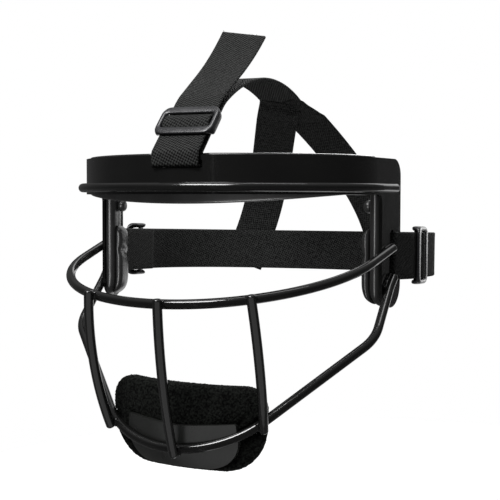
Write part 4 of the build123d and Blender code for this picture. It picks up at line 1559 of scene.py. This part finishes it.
@dataclass
class Sliders:
    """Tri-glides: rounded moulded frames with a centre bar, and the hump of webbing over each bar."""

    palette: Palette
    crown: CrownStrap
    rear: RearStrap
    brow_place: float = 19.7 * MM
    half_width: float = 16.0 * MM
    half_length: float = 10.1 * MM
    corner_radius: float = 4.8 * MM
    window_half_width: float = 13.15 * MM
    window_half_length: float = 5.3 * MM
    window_radius: float = 1.9 * MM
    rail_back: float = -0.8 * MM
    bar_back: float = 2.9 * MM
    front: float = 4.8 * MM
    centre_bar_half: float = 2.3 * MM
    rail_blend: float = 1.2 * MM
    roundness: float = 0.72
    hump_reach: float = 5.5 * MM
    hump_rise: float = 2.5 * MM

    @staticmethod
    def rounded(wide: float, long: float, radius: float) -> Array:
        """Outline of a rounded rectangle, with the same number of points for any size.

        Args:
            wide: Half of its width.
            long: Half of its length.
            radius: Radius of its corners.

        Returns:
            Points round it.
        """
        corners = [(wide - radius, long - radius), (radius - wide, long - radius)]
        corners += [(-x, -y) for x, y in corners]
        points = []
        for index, (x, y) in enumerate(corners):
            for turn in np.radians(np.linspace(0, 90, 7) + 90 * index):
                points.append((x + radius * math.cos(turn), y + radius * math.sin(turn)))
            after = np.array(corners[(index + 1) % 4])
            start, way = np.array(points[-1]), after - (x, y)
            shares = np.linspace(0, 1, 9 if index % 2 == 0 else 5)[1:-1]
            points += [tuple(start + way * share) for share in shares]
        return np.array(points)

    def moulding(self) -> tuple[Array, list[Face]]:
        """Points, as distances across, along and out of the webbing, and faces of frame and centre bar."""
        outer = self.rounded(self.half_width, self.half_length, self.corner_radius)
        inner = self.rounded(self.window_half_width, self.window_half_length, self.window_radius)
        turns = np.linspace(0, 2 * math.pi, 16, endpoint=False)
        side = np.sign(np.cos(turns)) * np.abs(np.cos(turns)) ** self.roundness
        lift = np.sign(np.sin(turns)) * np.abs(np.sin(turns)) ** self.roundness
        middle, half = (outer + inner) / 2, (outer - inner) / 2
        rail = np.clip((np.abs(middle[:, 0]) - self.window_half_width) / self.rail_blend, 0, 1)
        low = self.bar_back + (self.rail_back - self.bar_back) * rail
        flat = middle[:, None, :] + half[:, None, :] * side[None, :, None]
        height = (self.front + low)[:, None] / 2 + (self.front - low)[:, None] / 2 * lift[None, :]
        over = np.abs(flat[..., 0]) < self.window_half_width
        height = np.where(over, np.maximum(height, self.bar_back), height)
        rows, ring = len(outer), len(turns)
        stations = np.linspace(-1, 1, 7) * (self.window_half_width + self.rail_blend)
        points = [np.concatenate([flat, height[..., None]], axis=-1).reshape(-1, 3)]
        along, out = side * self.centre_bar_half, -lift * self.rail_back
        points += [np.column_stack([np.full(ring, x), along, out]) for x in stations]
        start, end = rows * ring, (rows + len(stations)) * ring
        caps = [tuple(range(start, start + ring)), tuple(range(end - ring, end))]
        return np.vstack(points), quads(rows, ring, closed=True) + quads(len(stations), ring, start) + caps

    def frame(self, name: str, centre: Array, along: Array, outward: Array) -> None:
        """Builds one slider's frame.

        Args:
            name: Name of its node.
            centre: Middle between the two webbing layers.
            along: Unit vector along the webbing.
            outward: Unit vector out of it.
        """
        local, faces = self.moulding()
        across = np.cross(along, outward)
        points = centre + local[:, 0:1] * across + local[:, 1:2] * along + local[:, 2:3] * outward
        piece = mesh_object(f"{name}_frame", points, faces, self.palette.slider)
        subdivide(piece)
        settle(piece, f"{name}_body", (name,))

    def hump(self, name: str, centre: Array, along: Array, outward: Array) -> None:
        """Builds the webbing that arches over a slider's centre bar and travels with it.

        Args:
            name: Name of the slider.
            centre: Middle of the outer webbing layer at the slider.
            along: Unit vector along the webbing.
            outward: Unit vector out of it.
        """
        shares = np.linspace(-1, 1, 25)
        lift = self.hump_rise * (1 - shares**2) + 0.05 * MM
        middles = centre + along * shares[:, None] * self.hump_reach + outward * lift[:, None]
        across = np.tile(np.cross(outward, along), (len(shares), 1))
        piece = self.crown.ribbon.make(f"{name}_webbing_hump", middles, across, self.palette.webbing)
        settle(piece, f"{name}_body")

    def build(self) -> None:
        """Builds each slider and its hump."""
        start, along, back = self.crown.zone()
        flat = start + along * self.brow_place
        way, outward = np.array([0.0, *along]), np.array([0.0, *-back])
        centre = np.array([0.0, *flat])
        self.frame("brow_slider", centre, way, outward)
        self.hump("brow_slider", centre + outward * self.crown.pitch / 2, way, outward)
        fall = math.radians(self.rear.fall)
        for side in Side:
            name = f"{side.word}_slider"
            low, high = (np.array(corner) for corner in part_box(name))
            middle = (low + high) / 2
            way = np.array([0.0, math.cos(fall), -math.sin(fall)])
            outward = np.array([float(side.value), 0, 0])
            aside = side.value * (self.rear.half_width - self.rear.pitch / 2)
            centre = np.array([aside, middle[1], middle[2]])
            self.frame(name, centre, way, outward)
            self.hump(name, centre + outward * self.rear.pitch / 2, way, outward)


@dataclass
class Stitching:
    """Boxes of dark thread that sew the branches to the crown strap and the rear strap."""

    palette: Palette
    branches: tuple[Branch, ...]
    pitch: float = 3.1 * MM
    length: float = 2.5 * MM
    radius: float = 0.24 * MM
    reach: float = 6.0 * MM
    foot_inset: float = 2.5 * MM
    head_setback: float = 40.0 * MM
    foot_box: tuple[float, float] = (9.6 * MM, 8.6 * MM)
    lap_row: int = 6
    lap_box: tuple[float, float] = (9.6 * MM, 6.8 * MM)

    def bead(self, place: Array, along: Array, outward: Array) -> tuple[Array, list[Face]]:
        """One stitch: a thin low ellipsoid half sunk into the webbing.

        Args:
            place: Its middle.
            along: Unit vector along the seam.
            outward: Unit vector out of the webbing.

        Returns:
            Points and faces.
        """
        aside, half = np.cross(along, outward), along * self.length / 2
        points, shares, count = [place - half], (-0.75, -0.3, 0.3, 0.75), 6
        for share in shares:
            for turn in np.linspace(0, 2 * math.pi, count, endpoint=False):
                ring = (aside * math.cos(turn) + outward * math.sin(turn)) * self.radius
                points.append(place + half * share + ring * math.sqrt(1 - share**2))
        last = len(points)
        faces = quads(len(shares), count, 1)
        for index in range(count):
            after = (index + 1) % count
            faces += [(0, 1 + after, 1 + index), (last - count + index, last - count + after, last)]
        return np.array([*points, place + half]), faces

    def box(
        self, name: str, centre: Array, u: Array, v: Array, outward: Array, size: tuple[float, float]
    ) -> Object:
        """A sewn box with a cross, laid on a strap.

        Args:
            name: Name of the strap that it lies on.
            centre: Middle of the box.
            u: Unit vector across the strap.
            v: Unit vector along the strap.
            outward: Unit vector out of the face that it lies on.
            size: Half sizes along u and v.

        Returns:
            The stitches.
        """
        tree = tree_of(bpy.data.objects[name].data)
        corners = [np.array(c) * size for c in ((-1, -1), (1, -1), (1, 1), (-1, 1))]
        ends = [(0, 1), (1, 2), (2, 3), (3, 0), (0, 2), (1, 3)]
        points: list[Array] = []
        faces: list[Face] = []
        for start, end in ((corners[first], corners[second]) for first, second in ends):
            run = float(np.linalg.norm(end - start))
            count = max(1, round(run / self.pitch))
            way = (end - start) / run
            for index in range(count):
                flat = start + (end - start) * (index + 0.5) / count
                place = centre + u * flat[0] + v * flat[1]
                hit = tree.ray_cast(Vector(place + outward * self.reach), Vector(-outward), 2 * self.reach)
                if hit[0] is None:
                    continue
                made, skin = self.bead(np.array(hit[0]), u * way[0] + v * way[1], outward)
                faces += [tuple(len(points) * len(made) + corner for corner in face) for face in skin]
                points.append(made)
        return mesh_object("sewn_box", np.vstack(points), faces, self.palette.thread)

    def build(self) -> None:
        """Sews the feet and the lap."""
        sewn = []
        for branch in self.branches:
            middles = branch.line()[0]
            start, end = middles[-branch.foot_rows], middles[-1]
            down, middle = unit(end - start), (start + end) / 2
            outward = unit(np.array([middle[0], middle[1] - self.head_setback, 0]))
            across = np.cross(down, outward)
            sewn.append(self.box(branch.name, middle, across, down, outward, self.foot_box))
            inside = middle - outward * self.foot_inset
            sewn.append(self.box("rear_webbing", inside, across, down, -outward, self.foot_box))
        lowest, row = self.branches[-1], self.lap_row
        middles = lowest.line()[0]
        along = unit(middles[row + 2] - middles[row - 2])
        outward = unit(np.cross(np.array([1.0, 0, 0]), along))
        outward = outward * (1 if outward[2] > 0 else -1)
        across = np.cross(along, outward)
        sewn.append(self.box(lowest.name, middles[row], across, along, -outward, self.lap_box))
        sewn.append(self.box("crown_webbing", middles[row], across, along, outward, self.lap_box))
        settle(join("harness_stitching", sewn))


# Studio


@dataclass(frozen=True)
class Softbox:
    """A rectangular soft light that looks at the part, with its azimuth off the front towards +X.

    Angles are in degrees, size and distance in metres, power in watts. With endings, it lights only
    the pieces whose names end so.
    """

    name: str
    azimuth: float
    elevation: float
    size: tuple[float, float]
    power: float
    endings: tuple[str, ...] = ()
    distance: float = 1.4

    def place(self) -> None:
        """Adds the light, once every piece is there."""
        data = bpy.data.lights.new(self.name, "AREA")
        data.shape, data.energy = "RECTANGLE", self.power
        data.size, data.size_y = self.size
        light = bpy.data.objects.new(self.name, data)
        turn, rise = math.radians(self.azimuth), math.radians(self.elevation)
        away = Vector((math.sin(turn) * math.cos(rise), -math.cos(turn) * math.cos(rise), math.sin(rise)))
        light.location = away * self.distance
        light.rotation_mode = "QUATERNION"
        light.rotation_quaternion = away.to_track_quat("Z", "Y")
        bpy.context.scene.collection.objects.link(light)
        if self.endings:
            lit = bpy.data.collections.new(self.name)
            for piece in bpy.data.objects:
                if piece.type == "MESH" and piece.name.endswith(self.endings):
                    lit.objects.link(piece)
            light.light_linking.receiver_collection = lit
            LOG.info("%s lights %d pieces", self.name, len(lit.objects))


PADS = ("temple_cushion", "inner_cushion", "studs")
HARNESS = ("webbing", "_hump", "stitching", "chin_cushion", "brow_cushion")
LIGHTS = (
    Softbox("key", -10.0, 48.0, (0.6, 0.4), 19.0, distance=1.3),
    Softbox("top", 15.0, 84.0, (1.2, 0.16), 3.0, distance=1.3),
    Softbox("pad_front", 5.0, 4.0, (0.4, 1.2), 16.0, PADS),
    Softbox("pad_back", 145.0, 4.0, (0.8, 1.2), 7.0, PADS),
    Softbox("brow_strip", 23.0, -30.0, (1.0, 0.3), 16.0, ("brow_cushion",)),
    Softbox("slider_strip", 20.0, 78.0, (1.2, 0.6), 12.0, ("brow_slider_frame", "left_slider_frame")),
    Softbox("slider_glow", 150.0, 12.0, (0.7, 0.7), 6.0, ("left_slider_frame",)),
    Softbox("bar_glow", 22.0, -28.0, (3.6, 1.8), 11.0, ("_bar", "chin_cup")),
    Softbox("rear_fill", 175.0, 35.0, (1.2, 0.5), 19.0, HARNESS),
)


@dataclass
class Studio:
    """Pale floor, white surroundings and the camera at the photograph's angle."""

    camera_place: Triple = (0.2417, -0.5848, 0.0135)
    azimuth: float = 22.72
    elevation: float = 2.66
    roll: float = 0.1
    lens: float = 80.0
    sensor: float = 36.0
    clip: tuple[float, float] = (0.01, 50.0)
    floor_gap: float = 0.12
    floor_radius: float = 0.42
    floor_setback: float = 0.24
    floor_glow: float = 0.4
    room: tuple[tuple[float, float], ...] = ((0.3, 0.12), (0.45, 0.07), (0.7, 0.1), (1.0, 0.45))
    backdrop_edges: tuple[float, float] = (0.4, 0.32)
    backdrop_light: float = 1.1

    def camera(self) -> None:
        """Places the camera."""
        azimuth, elevation, roll = (math.radians(a) for a in (self.azimuth, self.elevation, self.roll))
        level = math.cos(elevation)
        forward = Vector((-math.sin(azimuth) * level, math.cos(azimuth) * level, -math.sin(elevation)))
        right = Vector((math.cos(azimuth), math.sin(azimuth), 0))
        up = right.cross(forward)
        tilted_right = right * math.cos(roll) + up * math.sin(roll)
        tilted_up = up * math.cos(roll) - right * math.sin(roll)
        data = bpy.data.cameras.new("camera")
        data.lens, data.sensor_width = self.lens, self.sensor
        data.clip_start, data.clip_end = self.clip
        camera = bpy.data.objects.new("camera", data)
        turn = Matrix((tilted_right, tilted_up, -forward)).transposed()
        camera.matrix_world = Matrix.Translation(self.camera_place) @ turn.to_4x4()
        bpy.context.scene.collection.objects.link(camera)
        bpy.context.scene.camera = camera

    def surroundings(self) -> None:
        """White for the eye, and round the part a dim room with a light ceiling and a white backdrop."""
        world = bpy.data.worlds.new("studio")
        bpy.context.scene.world = world
        world.use_nodes = True
        world.node_tree.nodes.clear()
        nodes = Tree(world.node_tree)
        split = nodes.add("SeparateXYZ", {0: nodes.add("TexCoord").outputs["Generated"]})
        height = nodes.add("MapRange", {"From Min": -1.0, "Value": split.outputs["Z"]})
        ramp = nodes.add("ValToRGB", {"Fac": height.outputs["Result"]})
        stops = ramp.color_ramp.elements
        for index, (position, value) in enumerate(self.room):
            stop = stops[index] if index < 2 else stops.new(position)
            stop.position, stop.color = position, (*grey(value), 1)
        behind = nodes.math("MAXIMUM", split.outputs["Y"], 0.01)
        slant = nodes.math("DIVIDE", nodes.math("ABSOLUTE", split.outputs["X"]), behind)
        low, high = self.backdrop_edges
        inside = nodes.add("MapRange", {"From Min": low, "From Max": high, "Value": slant})
        light = (*grey(self.backdrop_light), 1)
        shades = {"Factor": inside.outputs["Result"], "A": ramp.outputs["Color"], "B": light}
        backdrop = nodes.add("Mix", shades, data_type="RGBA")
        room = nodes.add("Background", {"Color": backdrop.outputs["Result"], "Strength": 1.0})
        white = nodes.add("Background", {"Color": (1, 1, 1, 1), "Strength": 1.0})
        seen = nodes.add("LightPath").outputs["Is Camera Ray"]
        mix = nodes.add("MixShader", {0: seen, 1: room.outputs[0], 2: white.outputs[0]})
        nodes.add("OutputWorld", {"Surface": mix.outputs[0]})

    def floor(self) -> None:
        """Adds the pale floor under the part, which isn't mirrored in it."""
        glow = {"emission_color": (1, 1, 1, 1), "emission_strength": self.floor_glow}
        nodes = Nodes("pale_floor", roughness=0.9, **glow)
        nodes.shades(nodes.noise(3.0), grey(0.86), grey(0.9))
        turns = np.linspace(0, 2 * math.pi, 64, endpoint=False)
        rim = self.floor_radius * np.column_stack([np.cos(turns), np.sin(turns)]) + [0, self.floor_setback]
        places = np.column_stack([rim, np.full(len(rim), cad_low.z - self.floor_gap)])
        ground = mesh_object("floor", places, [tuple(range(len(rim)))], nodes.material)
        ground.visible_glossy = False
        ground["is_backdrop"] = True

    def build(self) -> None:
        """Sets up camera, surroundings and floor."""
        bpy.context.scene.view_settings.view_transform = "Standard"
        self.camera()
        self.surroundings()
        self.floor()


def main() -> None:
    """Builds the part piece by piece."""
    logging.basicConfig(level=logging.INFO, format="%(name)s: %(message)s")
    Studio().build()
    palette = Palette()
    crown, rear = CrownStrap(palette), RearStrap(palette)
    branches = (Branch(palette, crown, rear, Side.LEFT, 1), Branch(palette, crown, rear, Side.RIGHT, 2))
    builders = [
        Cage(palette),
        BrowPad(palette),
        TemplePads(palette),
        ChinSet(palette),
        crown,
        *branches,
        rear,
        Sliders(palette, crown, rear),
        Stitching(palette, branches),
    ]
    for builder in builders:
        builder.build()
        LOG.info("%s built", type(builder).__name__)
    for light in LIGHTS:
        light.place()
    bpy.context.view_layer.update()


if __name__ == "__main__":
    main()
